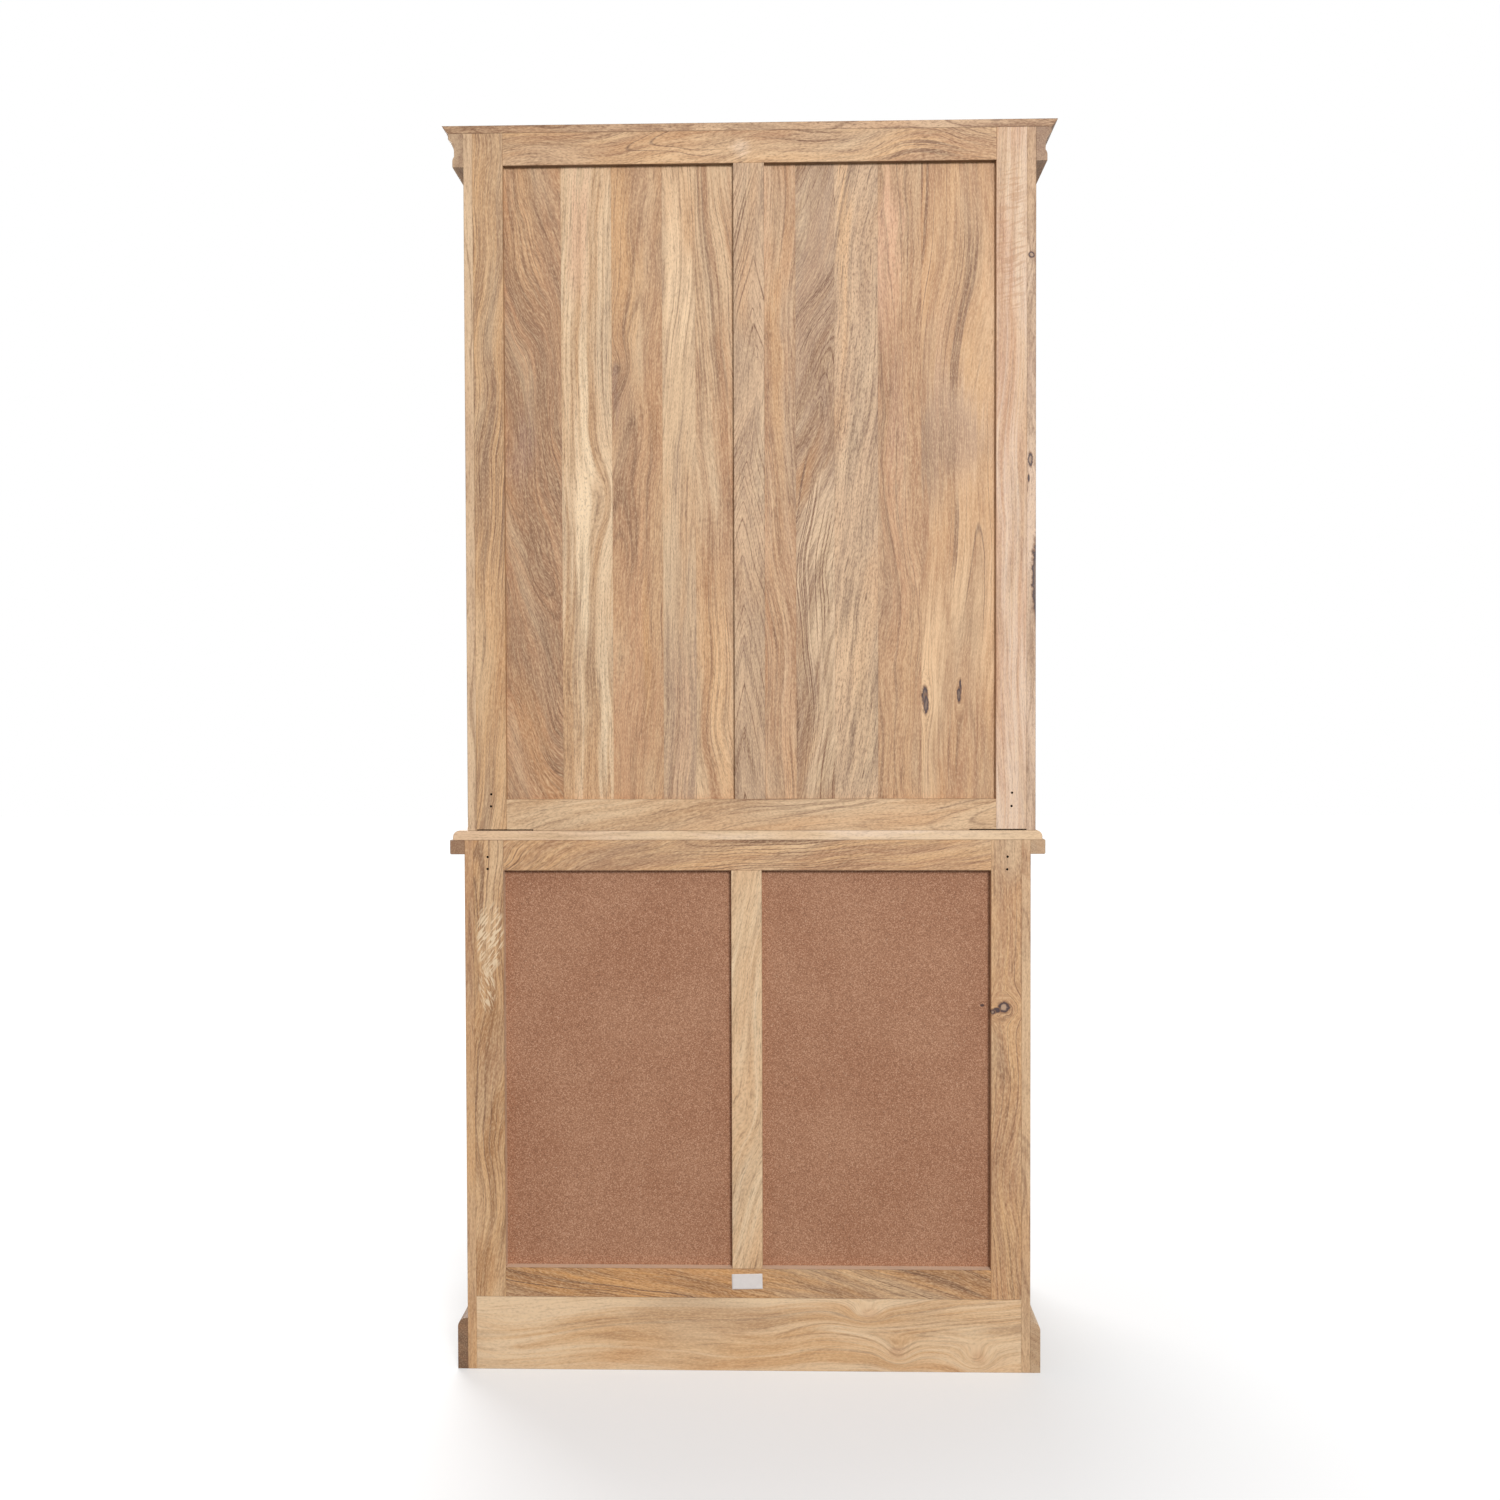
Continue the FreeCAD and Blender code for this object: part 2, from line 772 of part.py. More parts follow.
base_door = Door(base, S["plinth_back_height"] + S["bottom_thick"], base.high - S["base_face_top_width"],
                 S["base_door_stile"], S["base_door_top"], S["base_door_low"])
upper_door = Door(upper, upper.low + S["upper_face_low_width"], upper.high - S["upper_face_top_width"],
                  S["upper_door_stile"], S["upper_door_top"], S["upper_door_low"])


def leaf_cuts(door, count, foot):
    """Outlines (depth, height) of the hinge leaves' recesses, above the foot of the piece cut."""
    cuts = []
    for low in hinge_places(door.low, door.high, count):
        cuts.append(rectangle(
            (-S["overrun"], low - foot), (S["leaf_width"], low - foot + S["hinge_height"])))
    return cuts


class Seat:
    """The cut that holds a door's panel or pane, and the tenons beside it, from the door's face."""

    def __init__(self, low, high, depth, tenon_low, tenon_high):
        self.low = low
        self.high = high
        self.depth = depth
        self.tenon_low = tenon_low
        self.tenon_high = tenon_high


def panel_seat():
    """A groove in mid-thickness, with the tenons in line with it."""
    low = S["door_groove_back"]
    high = low + S["door_groove_width"]
    return Seat(low, high, S["door_groove_depth"], low, high)


def pane_seat():
    """A rebate open at the back, with the tenons in the wood in front of it."""
    low = S["pane_front"]
    high = S["face_thick"] + S["overrun"]
    return Seat(low, high, S["pane_lap"], S["pane_tenon_cheek"], low - S["pane_tenon_cheek"])


def door_stiles(door, count, seat, knob_z):
    """Hinge stile and meeting stile, cut for panel or pane, rail tenons, hinge leaves and knob."""
    deep = S["face_thick"]
    depth = seat.depth
    width = door.stile
    clear = S["fit_clear"]
    slots = []
    for low, high in ((0, door.bottom), (door.height - door.top, door.height)):
        slots.append(rectangle(
            (seat.tenon_low, low + S["tenon_shoulder"] - clear),
            (seat.tenon_high, high - S["tenon_shoulder"] + clear)))
    pieces = []
    for kind in ("hinge_stile", "meeting_stile"):
        hinge_side = kind == "hinge_stile"
        x = door.left if hinge_side else door.left + door.width - width
        body = new_body(door.name + "_" + kind, (x, door.y, door.low))
        pad(body, sketch_on(body, "XY", [eased(width, deep)]), door.height)
        cut = rectangle((width - depth if hinge_side else -S["overrun"], seat.low),
                        (width + S["overrun"] if hinge_side else depth, seat.high))
        pocket(body, sketch_on(body, "XY", [cut]), door.height, True)
        lift = width if hinge_side else 0
        pocket(body, sketch_on(body, "YZ", slots, lift), mortise_depth, not hinge_side)
        if hinge_side:
            leaves = sketch_on(body, "YZ", leaf_cuts(door, count, door.low))
            pocket(body, leaves, leaf_recess, True)
        else:
            bore = circle_on(body, "XZ", (width / 2, knob_z - door.low), S["spigot_radius"] + clear)
            pocket(body, bore, S["spigot_length"] + clear)
        pieces.append(body)
    return pieces


def door_rails(door, seat):
    """Top and bottom rail, grooved or rebated like the stiles and tenoned into them."""
    deep = S["face_thick"]
    depth = seat.depth
    clear = S["fit_clear"]
    cut = S["door_arris"]
    pieces = []
    for kind, width, low in (("bottom_rail", door.bottom, door.low),
                             ("top_rail", door.top, door.high - door.top)):
        inner_at_top = kind == "bottom_rail"
        body = new_body(door.name + "_" + kind, (door.left + door.stile, door.y, low))
        outline = [(cut, 0), (deep, 0), (deep, width), (cut, width), (0, width - cut), (0, cut)]
        pad(body, sketch_on(body, "YZ", [outline]), door.sight)
        slot = rectangle((seat.low, width - depth if inner_at_top else -S["overrun"]),
                         (seat.high, width + S["overrun"] if inner_at_top else depth))
        pocket(body, sketch_on(body, "YZ", [slot]), door.sight, True)
        tenon = rectangle(
            (seat.tenon_low + clear, S["tenon_shoulder"]),
            (seat.tenon_high - clear, width - S["tenon_shoulder"]))
        for start in (-S["tenon_length"], door.sight):
            pad(body, sketch_on(body, "YZ", [tenon], start), S["tenon_length"])
        pieces.append(body)
    return pieces


def hinge_sets(door, count):
    """Frame leaves, door leaves and pins of one door."""
    gap = S["knuckle_clear"] / 2
    first = knuckle_height
    second = S["hinge_height"] - knuckle_height
    outer = [(0, first - gap), (second + gap, S["hinge_height"])]
    inner = [(first + gap, second - gap)]
    frame_leaves = []
    door_leaves = []
    pins = []
    for number, low in enumerate(hinge_places(door.low, door.high, count), start=1):
        corner = (door.axis_x, door.axis_y, low)
        tail = "_" + str(number)
        frame_leaves.append(hinge_leaf(door.name + "_frame_leaf" + tail, corner, -1, outer))
        door_leaves.append(hinge_leaf(door.name + "_door_leaf" + tail, corner, 1, inner))
        pins.append(hinge_pin(door.name + "_pin" + tail, corner))
    return frame_leaves, door_leaves, pins


def fielded_panel(door):
    """A solid panel: a thin tongue all round and a raised field with slanted margins."""
    tongue = S["door_groove_depth"] - S["fit_clear"] * 2
    wide = door.sight + tongue * 2
    high = door.sight_height + tongue * 2
    thick = S["door_groove_width"] - S["fit_clear"] * 2
    front_y = door.y + S["door_groove_back"] + S["fit_clear"]
    corner = (door.left + door.stile - tongue, front_y, door.sight_low - tongue)
    body = new_body(door.name + "_panel", corner)
    pad(body, sketch_on(body, "XZ", [rectangle((0, 0), (wide, high))]), thick, True)
    near = tongue + S["field_start"]
    far = near + S["field_margin"]
    lower = sketch_on(body, "XZ", [rectangle((near, near), (wide - near, high - near))])
    raised = sketch_on(body, "XZ", [rectangle((far, far), (wide - far, high - far))], S["field_rise"])
    loft = body.newObject("PartDesign::AdditiveLoft", door.name + "_field")
    loft.Profile = lower
    loft.Sections = [raised]
    loft.Ruled = True
    return body


def glazing_bars(door):
    """One upright bar and the short level bars each side of it, bevelled towards the front."""
    deep = S["pane_front"]
    wide = S["bar_width"]
    bevel = S["bar_bevel"]
    middle_x = door.left + door.width / 2
    profile = [(bevel, 0), (wide - bevel, 0), (wide, bevel), (wide, deep), (0, deep), (0, bevel)]
    upright = new_body(door.name + "_upright_bar", (middle_x - wide / 2, door.y, door.sight_low))
    pad(upright, sketch_on(upright, "XY", [profile]), door.sight_height)
    pieces = [upright]
    length = (door.sight - wide) / 2
    turned = [(corner[1], corner[0]) for corner in profile]
    for row in range(1, BAR_ROWS):
        low = door.sight_low + door.sight_height * row / BAR_ROWS - wide / 2
        for side, x in (("a", door.left + door.stile), ("b", middle_x + wide / 2)):
            body = new_body(door.name + "_level_bar_" + str(row) + side, (x, door.y, low))
            pad(body, sketch_on(body, "YZ", [turned]), length)
            pieces.append(body)
    return pieces


def glazing_beads(door):
    """Four quadrant beads that hold the pane in its rebate from behind."""
    lap = S["pane_lap"]
    start_y = S["pane_front"] + S["pane_thick"]
    thick = S["face_thick"] - start_y
    x = door.left + door.stile
    pieces = []
    for name, left in (("left", True), ("right", False)):
        corner_x = x - lap if left else x + door.sight + lap
        corner = (corner_x, door.y + start_y, door.sight_low - lap)
        body = new_body(door.name + "_bead_" + name, corner)
        outline = [(0, 0), (lap, 0), (lap - thick, thick), (0, thick)]
        if not left:
            outline = [(-as_size(across), up) for across, up in outline]
        pad(body, sketch_on(body, "XY", [outline]), door.sight_height + lap * 2)
        pieces.append(body)
    for name, low in (("low", True), ("high", False)):
        corner_z = door.sight_low - lap if low else door.sight_low + door.sight_height + lap
        corner = (x, door.y + start_y, corner_z)
        body = new_body(door.name + "_bead_" + name, corner)
        outline = [(0, 0), (0, lap), (thick, lap - thick), (thick, 0)]
        if not low:
            outline = [(across, -as_size(up)) for across, up in outline]
        pad(body, sketch_on(body, "YZ", [outline]), door.sight)
        pieces.append(body)
    return pieces


def pane(door):
    """One sheet of glass, in the rebate behind the bars."""
    reach = S["pane_lap"] - S["pane_clear"]
    corner = (door.left + door.stile - reach, door.y + S["pane_front"], door.sight_low - reach)
    lengths = (door.sight + reach * 2, S["pane_thick"], door.sight_height + reach * 2)
    return plain_board(door.name + "_pane", corner, lengths)


def right_hand(door, pieces):
    """The right-hand door's sub-parts, mirrored from the left-hand ones."""
    for piece in pieces:
        label = piece.Label.replace("_left_", "_right_")
        keep(mirrored(label, piece, door.unit.middle))


# Face frames

def face_stiles(door, count, rails):
    """Both stiles of a face frame, recessed for the hinge leaves and mortised for the rails."""
    unit = door.unit
    cut = S["face_arris"]
    wide = S["face_stile_width"]
    deep = S["face_thick"]
    cheek = S["face_tenon_cheek"]
    clear = S["fit_clear"]
    body = new_body(unit.name + "_face_stile_left", (unit.left, unit.face_y, unit.low))
    outline = [(cut, 0), (wide, 0), (wide, deep), (0, deep), (0, cut)]
    pad(body, sketch_on(body, "XY", [outline]), unit.high - unit.low)
    pocket(body, sketch_on(body, "YZ", leaf_cuts(door, count, unit.low), wide), leaf_recess)
    slots = []
    for low, width in rails:
        slots.append(rectangle(
            (cheek - clear, low - unit.low + S["tenon_shoulder"] - clear),
            (deep - cheek + clear, low - unit.low + width - S["tenon_shoulder"] + clear)))
    pocket(body, sketch_on(body, "YZ", slots, wide), mortise_depth)
    other = mirrored(unit.name + "_face_stile_right", body, unit.middle)
    return keep(group(unit.name + "_face_stiles", [body, other]))


def face_rail(label, unit, low, width):
    """A rail of a face frame, tenoned into both stiles."""
    deep = S["face_thick"]
    cheek = S["face_tenon_cheek"]
    body = new_body(label, (unit.left + S["face_stile_width"], unit.face_y, low))
    pad(body, sketch_on(body, "YZ", [rectangle((0, 0), (deep, width))]), unit.face_sight)
    tenon = rectangle((cheek, S["tenon_shoulder"]), (deep - cheek, width - S["tenon_shoulder"]))
    length = unit.face_sight + S["tenon_length"] * 2
    pad(body, sketch_on(body, "YZ", [tenon], -S["tenon_length"]), length)
    return keep(body)


def door_catch(door):
    """A catch behind the top rail of the face frame: it hangs down behind the door's top corner."""
    x = door.unit.middle - S["catch_inset"] - S["catch_width"]
    low = door.high + S["door_gap"] - S["catch_drop"]
    body = new_body(door.name + "_catch", (x, door.unit.inner_y, low))
    back = S["catch_thick"]
    step = S["catch_setback"]
    outline = [
        (step, 0),
        (back, 0),
        (back, S["catch_height"]),
        (0, S["catch_height"]),
        (0, S["catch_drop"]),
        (step, S["catch_drop"]),
    ]
    pad(body, sketch_on(body, "YZ", [outline]), S["catch_width"])
    other = mirrored(door.unit.name + "_door_right_catch", body, door.unit.middle)
    return [body, other]


# The base unit

base_shelf_z = (base_door.low + base_door.high - S["shelf_thick"]) / 2
carcass_side(base, [(S["plinth_back_height"], S["bottom_thick"]), (base_shelf_z, S["shelf_thick"])])
keep(housed_board("base_bottom", base, S["plinth_back_height"], S["bottom_thick"], as_size(0), None))
keep(housed_board("base_shelf", base, base_shelf_z, S["shelf_thick"], S["shelf_setback"], S["shelf_round"]))

fibre_left, fibre_right, fibre_size = back_frame(
    base, S["plinth_back_height"], S["plinth_back_height"],
    S["base_back_top_width"], S["base_back_low_width"], None, S["fibre_panel_thick"])
keep(plain_board("base_back_panel_left", fibre_left, fibre_size))
keep(plain_board("base_back_panel_right", fibre_right, fibre_size))

keep(plain_board(
    "plinth_back_board",
    (base.left + S["rear_strip"], base.frame_y, 0),
    (base.width - S["rear_strip"] * 2, S["back_thick"], S["plinth_back_height"])))
mouldings("plinth", base, as_size(0), flipped(plinth_outline()), S["plinth_thick"])
waist_board()
mouldings("waist", base, S["base_height"] - S["waist_mould_height"],
          flipped(waist_outline()), S["waist_mould_reach"])

base_low_rail_width = S["plinth_back_height"] + S["bottom_thick"]
base_rails = [(as_size(0), base_low_rail_width),
              (base.high - S["base_face_top_width"], S["base_face_top_width"])]
face_stiles(base_door, BASE_HINGES, base_rails)
face_rail("base_face_bottom_rail", base, base_rails[0][0], base_rails[0][1])
face_rail("base_face_top_rail", base, base_rails[1][0], base_rails[1][1])

# The upper unit

upper_bottom_z = upper_door.low - S["door_gap"] - S["bottom_thick"]
upper_shelves_z = []
for row in range(1, BAR_ROWS):
    bar_z = upper_door.sight_low + upper_door.sight_height * row / BAR_ROWS
    upper_shelves_z.append(bar_z - S["shelf_thick"] / 2)
carcass_side(upper, [(upper_bottom_z, S["bottom_thick"])]
             + [(shelf_z, S["shelf_thick"]) for shelf_z in upper_shelves_z])
keep(housed_board("upper_bottom", upper, upper_bottom_z, S["bottom_thick"], as_size(0), None))
upper_shelves = []
for number, shelf_z in enumerate(upper_shelves_z, start=1):
    upper_shelves.append(housed_board(
        "upper_shelf_" + str(number), upper, shelf_z, S["shelf_thick"],
        S["shelf_setback"], S["shelf_round"]))
keep(group("upper_shelves", upper_shelves))

solid_left, solid_right, solid_size = back_frame(
    upper, upper.low, upper.low + S["foot_relief"],
    S["upper_back_top_width"], S["upper_back_low_width"], S["foot_relief"], S["solid_panel_thick"])
glued_panel("upper_back_panel_left", solid_left, solid_size, LEFT_BOARD_SHARES)
glued_panel("upper_back_panel_right", solid_right, solid_size, RIGHT_BOARD_SHARES)

crown_board()
mouldings("crown", upper, upper.high - S["crown_mould_height"],
          flipped(crown_outline()), S["crown_mould_reach"])

upper_rails = [(upper.low, S["upper_face_low_width"]),
               (upper.high - S["upper_face_top_width"], S["upper_face_top_width"])]
face_stiles(upper_door, UPPER_HINGES, upper_rails)
face_rail("upper_face_bottom_rail", upper, upper_rails[0][0], upper_rails[0][1])
face_rail("upper_face_top_rail", upper, upper_rails[1][0], upper_rails[1][1])

# The doors, their hinges, knobs and catches

frame_leaves = []
pins = []
catches = []
for door, count in ((base_door, BASE_HINGES), (upper_door, UPPER_HINGES)):
    glazed = door is upper_door
    knob_x = door.left + door.width - door.stile / 2
    if glazed:
        seat = pane_seat()
        knob_z = door.low + S["upper_knob_rise"]
    else:
        seat = panel_seat()
        knob_z = door.high - S["base_knob_drop"]
    frame_pieces = door_stiles(door, count, seat, knob_z) + door_rails(door, seat)
    if glazed:
        frame_pieces = frame_pieces + glazing_bars(door) + glazing_beads(door)
    door_frame = group(door.name + "_frame", frame_pieces)
    filling = pane(door) if glazed else fielded_panel(door)
    knob = turned_knob(door.name + "_knob", (knob_x, door.y, knob_z))
    on_frame, on_door, door_pins = hinge_sets(door, count)
    leaves = group(door.name + "_hinge_leaves", on_door)
    parts = [door_frame, filling, leaves, knob]
    for piece in parts:
        keep(piece)
    right_hand(door, parts)
    left_leaves = group(door.name + "_frame_leaves", on_frame)
    right_leaves = mirrored(door.unit.name + "_door_right_frame_leaves", left_leaves, door.unit.middle)
    left_pins = group(door.name + "_pins", door_pins)
    right_pins = mirrored(door.unit.name + "_door_right_pins", left_pins, door.unit.middle)
    frame_leaves = frame_leaves + [left_leaves, right_leaves]
    pins = pins + [left_pins, right_pins]
    catches = catches + door_catch(door)
keep(group("hinge_frame_leaves", frame_leaves))
keep(group("hinge_pins", pins))
keep(group("door_catches", catches))

# Checks and files

doc.recompute()
for thing in doc.Objects:
    if "Invalid" in thing.State or "Error" in thing.State:
        raise RuntimeError(thing.Label + " did not recompute")
os.makedirs("parts", exist_ok=True)
for node in nodes:
    shape = node.Shape
    if shape.isNull() or not shape.isValid():
        raise RuntimeError(node.Label + " has no valid shape")
for node in nodes:
    node.Shape.exportStep("parts/" + node.Label + ".step")
    volume = node.Shape.Volume / CUBIC_MM_PER_CM3
    print(node.Label, "solids", len(node.Shape.Solids), "volume", round(volume, 1), "cm3")
print(len(nodes), "sub-parts")
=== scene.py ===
# %% [markdown]
# # A two-part wooden cupboard, seen from behind
#
# The cupboard is a glazed upper unit that stands on a panelled base unit. The picture looks at its back:
# two frames of pale, lively hardwood, the upper one filled with glued boards and the lower one with
# brown fibreboard. The solids of every board come from the CAD frame, with their sizes. This lesson adds
# what makes them wood: grain that runs along each board, eased edges, nail heads, screws and light.

# %% Load the frame
import json
import math

import bmesh
import bpy
import numpy as np
from mathutils import Matrix, Vector


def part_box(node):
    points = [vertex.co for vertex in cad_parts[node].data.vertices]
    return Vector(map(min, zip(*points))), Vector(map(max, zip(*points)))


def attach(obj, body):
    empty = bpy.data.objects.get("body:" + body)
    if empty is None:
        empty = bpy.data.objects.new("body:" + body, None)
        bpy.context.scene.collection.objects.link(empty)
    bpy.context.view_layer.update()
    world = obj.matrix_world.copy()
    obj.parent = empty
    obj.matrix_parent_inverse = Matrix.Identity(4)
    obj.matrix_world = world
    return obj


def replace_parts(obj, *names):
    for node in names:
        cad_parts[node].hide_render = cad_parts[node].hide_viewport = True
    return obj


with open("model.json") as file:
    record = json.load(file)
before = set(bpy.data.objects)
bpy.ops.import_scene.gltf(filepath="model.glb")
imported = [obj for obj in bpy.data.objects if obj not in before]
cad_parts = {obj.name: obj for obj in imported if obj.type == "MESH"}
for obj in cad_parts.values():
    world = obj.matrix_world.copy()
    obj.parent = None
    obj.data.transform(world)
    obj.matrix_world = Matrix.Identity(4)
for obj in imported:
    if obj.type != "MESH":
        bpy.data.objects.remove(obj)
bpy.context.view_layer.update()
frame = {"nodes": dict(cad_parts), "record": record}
home = {node: body for body, nodes in frame["record"]["behaviour"]["bodies"].items() for node in nodes}

# %% [markdown]
# ## Which way the cupboard stands
#
# The frame's +Z is up and its doors face -Y, so the back that the picture shows faces +Y. Most of what
# is added here takes its place from the boxes of the solids, so that it stays with them.

# %% Boxes of the solids
MM = 0.001


def low(node):
    """The lowest corner of a node's box."""
    return np.array(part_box(node)[0])


def high(node):
    """The highest corner of a node's box."""
    return np.array(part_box(node)[1])


back_y = float(high("upper_back_muntin")[1])
print("the back lies at y =", round(back_y, 4))

# %% [markdown]
# ## Writing a material as sums
#
# A material is a graph of small nodes. Written out socket by socket it is long and hard to read, so a
# Wire wraps one socket: adding or multiplying two wires adds the Math node that does it. Numbers alone
# stay in Python. Colours go through Mix nodes, because a Math node would turn them grey.
#
# In the materials below, the numbers beside a place say how often per metre a noise changes, the two
# numbers of a rise say where its step starts and ends, and the number on a share is its strongest value.

# %% Wires and paints
class Wire:
    """A socket of a node tree. An expression on wires adds its Math nodes."""

    def __init__(self, graph, socket):
        self.graph = graph
        self.socket = socket

    def math(self, operation, *others):
        return self.graph.node("ShaderNodeMath", {"operation": operation}, [self, *others])

    def __add__(self, other):
        return self.math("ADD", other)

    def __sub__(self, other):
        return self.math("SUBTRACT", other)

    def __rsub__(self, other):
        return self.graph.node("ShaderNodeMath", {"operation": "SUBTRACT"}, [other, self])

    def __mul__(self, other):
        return self.math("MULTIPLY", other)

    def __truediv__(self, other):
        return self.math("DIVIDE", other)

    def __abs__(self):
        return self.math("ABSOLUTE")

    __radd__ = __add__
    __rmul__ = __mul__

    def rise(self, start, finish):
        """0 below start and 1 above finish, with a smooth step between them."""
        settings = {"interpolation_type": "SMOOTHSTEP"}
        return self.graph.node("ShaderNodeMapRange", settings, {"Value": self, 1: start, 2: finish})

    def fall(self, start, finish):
        """1 below start and 0 above finish."""
        return 1.0 - self.rise(start, finish)


class Graph:
    """A node tree that is written with wires."""

    def __init__(self, tree):
        self.tree = tree

    def node(self, kind, settings, inputs, output=0):
        """Adds one node, sets it, joins or fills its sockets, and returns the wire of one output."""
        made = self.tree.nodes.new(kind)
        for key, value in settings.items():
            setattr(made, key, value)
        pairs = inputs.items() if isinstance(inputs, dict) else enumerate(inputs)
        for key, value in pairs:
            self.put(made.inputs[key], value)
        return Wire(self, made.outputs[output])

    def put(self, socket, value):
        if isinstance(value, Wire):
            self.tree.links.new(value.socket, socket)
        else:
            socket.default_value = value

    def place(self):
        """Places on the object in metres."""
        return self.node("ShaderNodeTexCoord", {}, {}, "Object")

    def attribute(self, name, output="Vector"):
        return self.node("ShaderNodeAttribute", {"attribute_name": name}, {}, output)

    def split(self, vector):
        """The three numbers of a vector."""
        made = self.node("ShaderNodeSeparateXYZ", {}, [vector])
        return [Wire(self, socket) for socket in made.socket.node.outputs]

    def noise(self, place, scale=1.0, detail=2.0, roughness=0.5):
        """Smooth random values round one half, at a place: the wire of a vector, or three numbers."""
        if isinstance(place, tuple):
            place = self.node("ShaderNodeCombineXYZ", {}, place)
        inputs = {"Vector": place, "Scale": scale, "Detail": detail, "Roughness": roughness}
        return self.node("ShaderNodeTexNoise", {}, inputs)

    def mix(self, share, first, second):
        """The first colour where share is 0, the second where it is 1."""
        settings = {"data_type": "RGBA", "clamp_factor": True}
        return self.node("ShaderNodeMix", settings, {0: share, 6: first, 7: second}, 2)

    def bump(self, height, strength, distance):
        inputs = {"Height": height, "Strength": strength, "Distance": distance}
        return self.node("ShaderNodeBump", {}, inputs)


class Paint(Graph):
    """A material that is written with wires."""

    def __init__(self, name):
        self.material = bpy.data.materials.new(name)
        self.material.use_nodes = True
        super().__init__(self.material.node_tree)

    def set(self, **values):
        """Sets sockets of the shader by their names, with _ for a space."""
        for name, value in values.items():
            self.put(self.tree.nodes["Principled BSDF"].inputs[name.replace("_", " ")], value)
        return self.material


def colour(red, green, blue):
    """A linear colour from screen values of 0 to 255."""
    screen = np.array([red, green, blue]) / 255
    linear = np.where(screen > 0.04045, ((screen + 0.055) / 1.055) ** 2.4, screen / 12.92)
    return (*linear.tolist(), 1.0)


BLACK = (0.0, 0.0, 0.0, 1.0)
WHITE = (1.0, 1.0, 1.0, 1.0)
print("a mid tan is", [round(value, 3) for value in colour(200, 166, 130)[:3]])

# %% [markdown]
# ## The boards one by one
#
# Real boards differ: each was sawn at its own distance from the heart of its log, and its grain runs
# along its own length. One texture over the whole cupboard would give that away at once. So each solid
# of a node is found again in the mesh, and its faces carry what the wood material needs to know about
# that board: where a point lies along, across and through it, how it was sawn, and its tones.

# %% Find the solids in a node's mesh
WELD_STEP = 0.01 * MM
WELD_SHIFT = 0.137


def mesh_arrays(mesh):
    """Corner places, face sizes and face corners of a mesh."""
    places = np.empty(len(mesh.vertices) * 3)
    mesh.vertices.foreach_get("co", places)
    sizes = np.empty(len(mesh.polygons), dtype=np.int64)
    mesh.polygons.foreach_get("loop_total", sizes)
    corners = np.empty(len(mesh.loops), dtype=np.int64)
    mesh.loops.foreach_get("vertex_index", corners)
    return places.reshape(-1, 3), sizes, corners


def triangles(node):
    """Welded corner places and triangles of a node's mesh.

    Corners weld where their places agree to a hundredth of a millimetre. The shift keeps round
    sizes away from the limit between two steps.
    """
    places, _, corners = mesh_arrays(frame["nodes"][node].data)
    steps = np.floor(places / WELD_STEP + WELD_SHIFT)
    _, keep, weld = np.unique(steps, axis=0, return_index=True, return_inverse=True)
    return places[keep], weld.reshape(-1)[corners].reshape(-1, 3)


def solid_numbers(corners):
    """The number of the solid that each triangle belongs to.

    Triangles come solid by solid. Each edge of a closed solid is met twice, so a solid is complete
    where every edge met so far has been met an even number of times.
    """
    edges = np.sort(np.stack([corners, np.roll(corners, -1, axis=1)], axis=2).reshape(-1, 2), axis=1)
    keys = edges[:, 0] * (corners.max() + 1) + edges[:, 1]
    order = np.argsort(keys, kind="stable")
    fresh = np.append(True, np.diff(keys[order]) != 0)
    index = np.arange(len(keys))
    turn = index - np.maximum.accumulate(np.where(fresh, index, 0))
    change = np.empty(len(keys), dtype=int)
    change[order] = np.where(turn % 2 == 0, 1, -1)
    complete = np.cumsum(change.reshape(-1, 3).sum(axis=1)) == 0
    return np.append(0, np.cumsum(complete)[:-1])


def solids_of(node):
    """Each solid of a node as (corner places, triangles)."""
    places, corners = triangles(node)
    numbers = solid_numbers(corners)
    return [(places, corners[numbers == number]) for number in range(numbers.max() + 1)]


counts = {node: len(solids_of(node)) for node in sorted(frame["nodes"])}
print("solids:", sum(counts.values()), {node: count for node, count in counts.items() if count > 1})

# %% [markdown]
# ## Easing the edges
#
# A planed board never has a knife edge: a stroke of abrasive paper leaves a round of about a third of a
# millimetre that catches the light and draws a fine line along every joint. Each solid is copied, its
# triangles are merged back into whole flat faces, and its sharp edges get a small bevel.

# %% Eased copies of solids
EASE = 0.35 * MM
FLAT_ANGLE = math.radians(1)
SHARP_ANGLE = math.radians(30)


def eased(places, corners, ease):
    """One solid with whole flat faces and bevelled edges: corner places, face sizes, face corners."""
    used, local = np.unique(corners, return_inverse=True)
    mesh = bpy.data.meshes.new("solid")
    mesh.from_pydata(places[used], [], local.reshape(-1, 3))
    solid = bmesh.new()
    solid.from_mesh(mesh)
    bmesh.ops.dissolve_limit(solid, angle_limit=FLAT_ANGLE, verts=solid.verts, edges=solid.edges)
    sharp = [edge for edge in solid.edges if edge.calc_face_angle(0.0) > SHARP_ANGLE]
    bmesh.ops.bevel(solid, geom=sharp, offset=ease, offset_type="OFFSET", segments=1,
                    profile=0.5, affect="EDGES", clamp_overlap=True)
    solid.to_mesh(mesh)
    solid.free()
    arrays = mesh_arrays(mesh)
    bpy.data.meshes.remove(mesh)
    return arrays


def joined(parts):
    """Several (corner places, face sizes, face corners) as one."""
    places, sizes, corners = zip(*parts)
    starts = np.cumsum([0] + [len(place) for place in places[:-1]])
    corners = [part + start for part, start in zip(corners, starts)]
    return np.concatenate(places), np.concatenate(sizes), np.concatenate(corners)


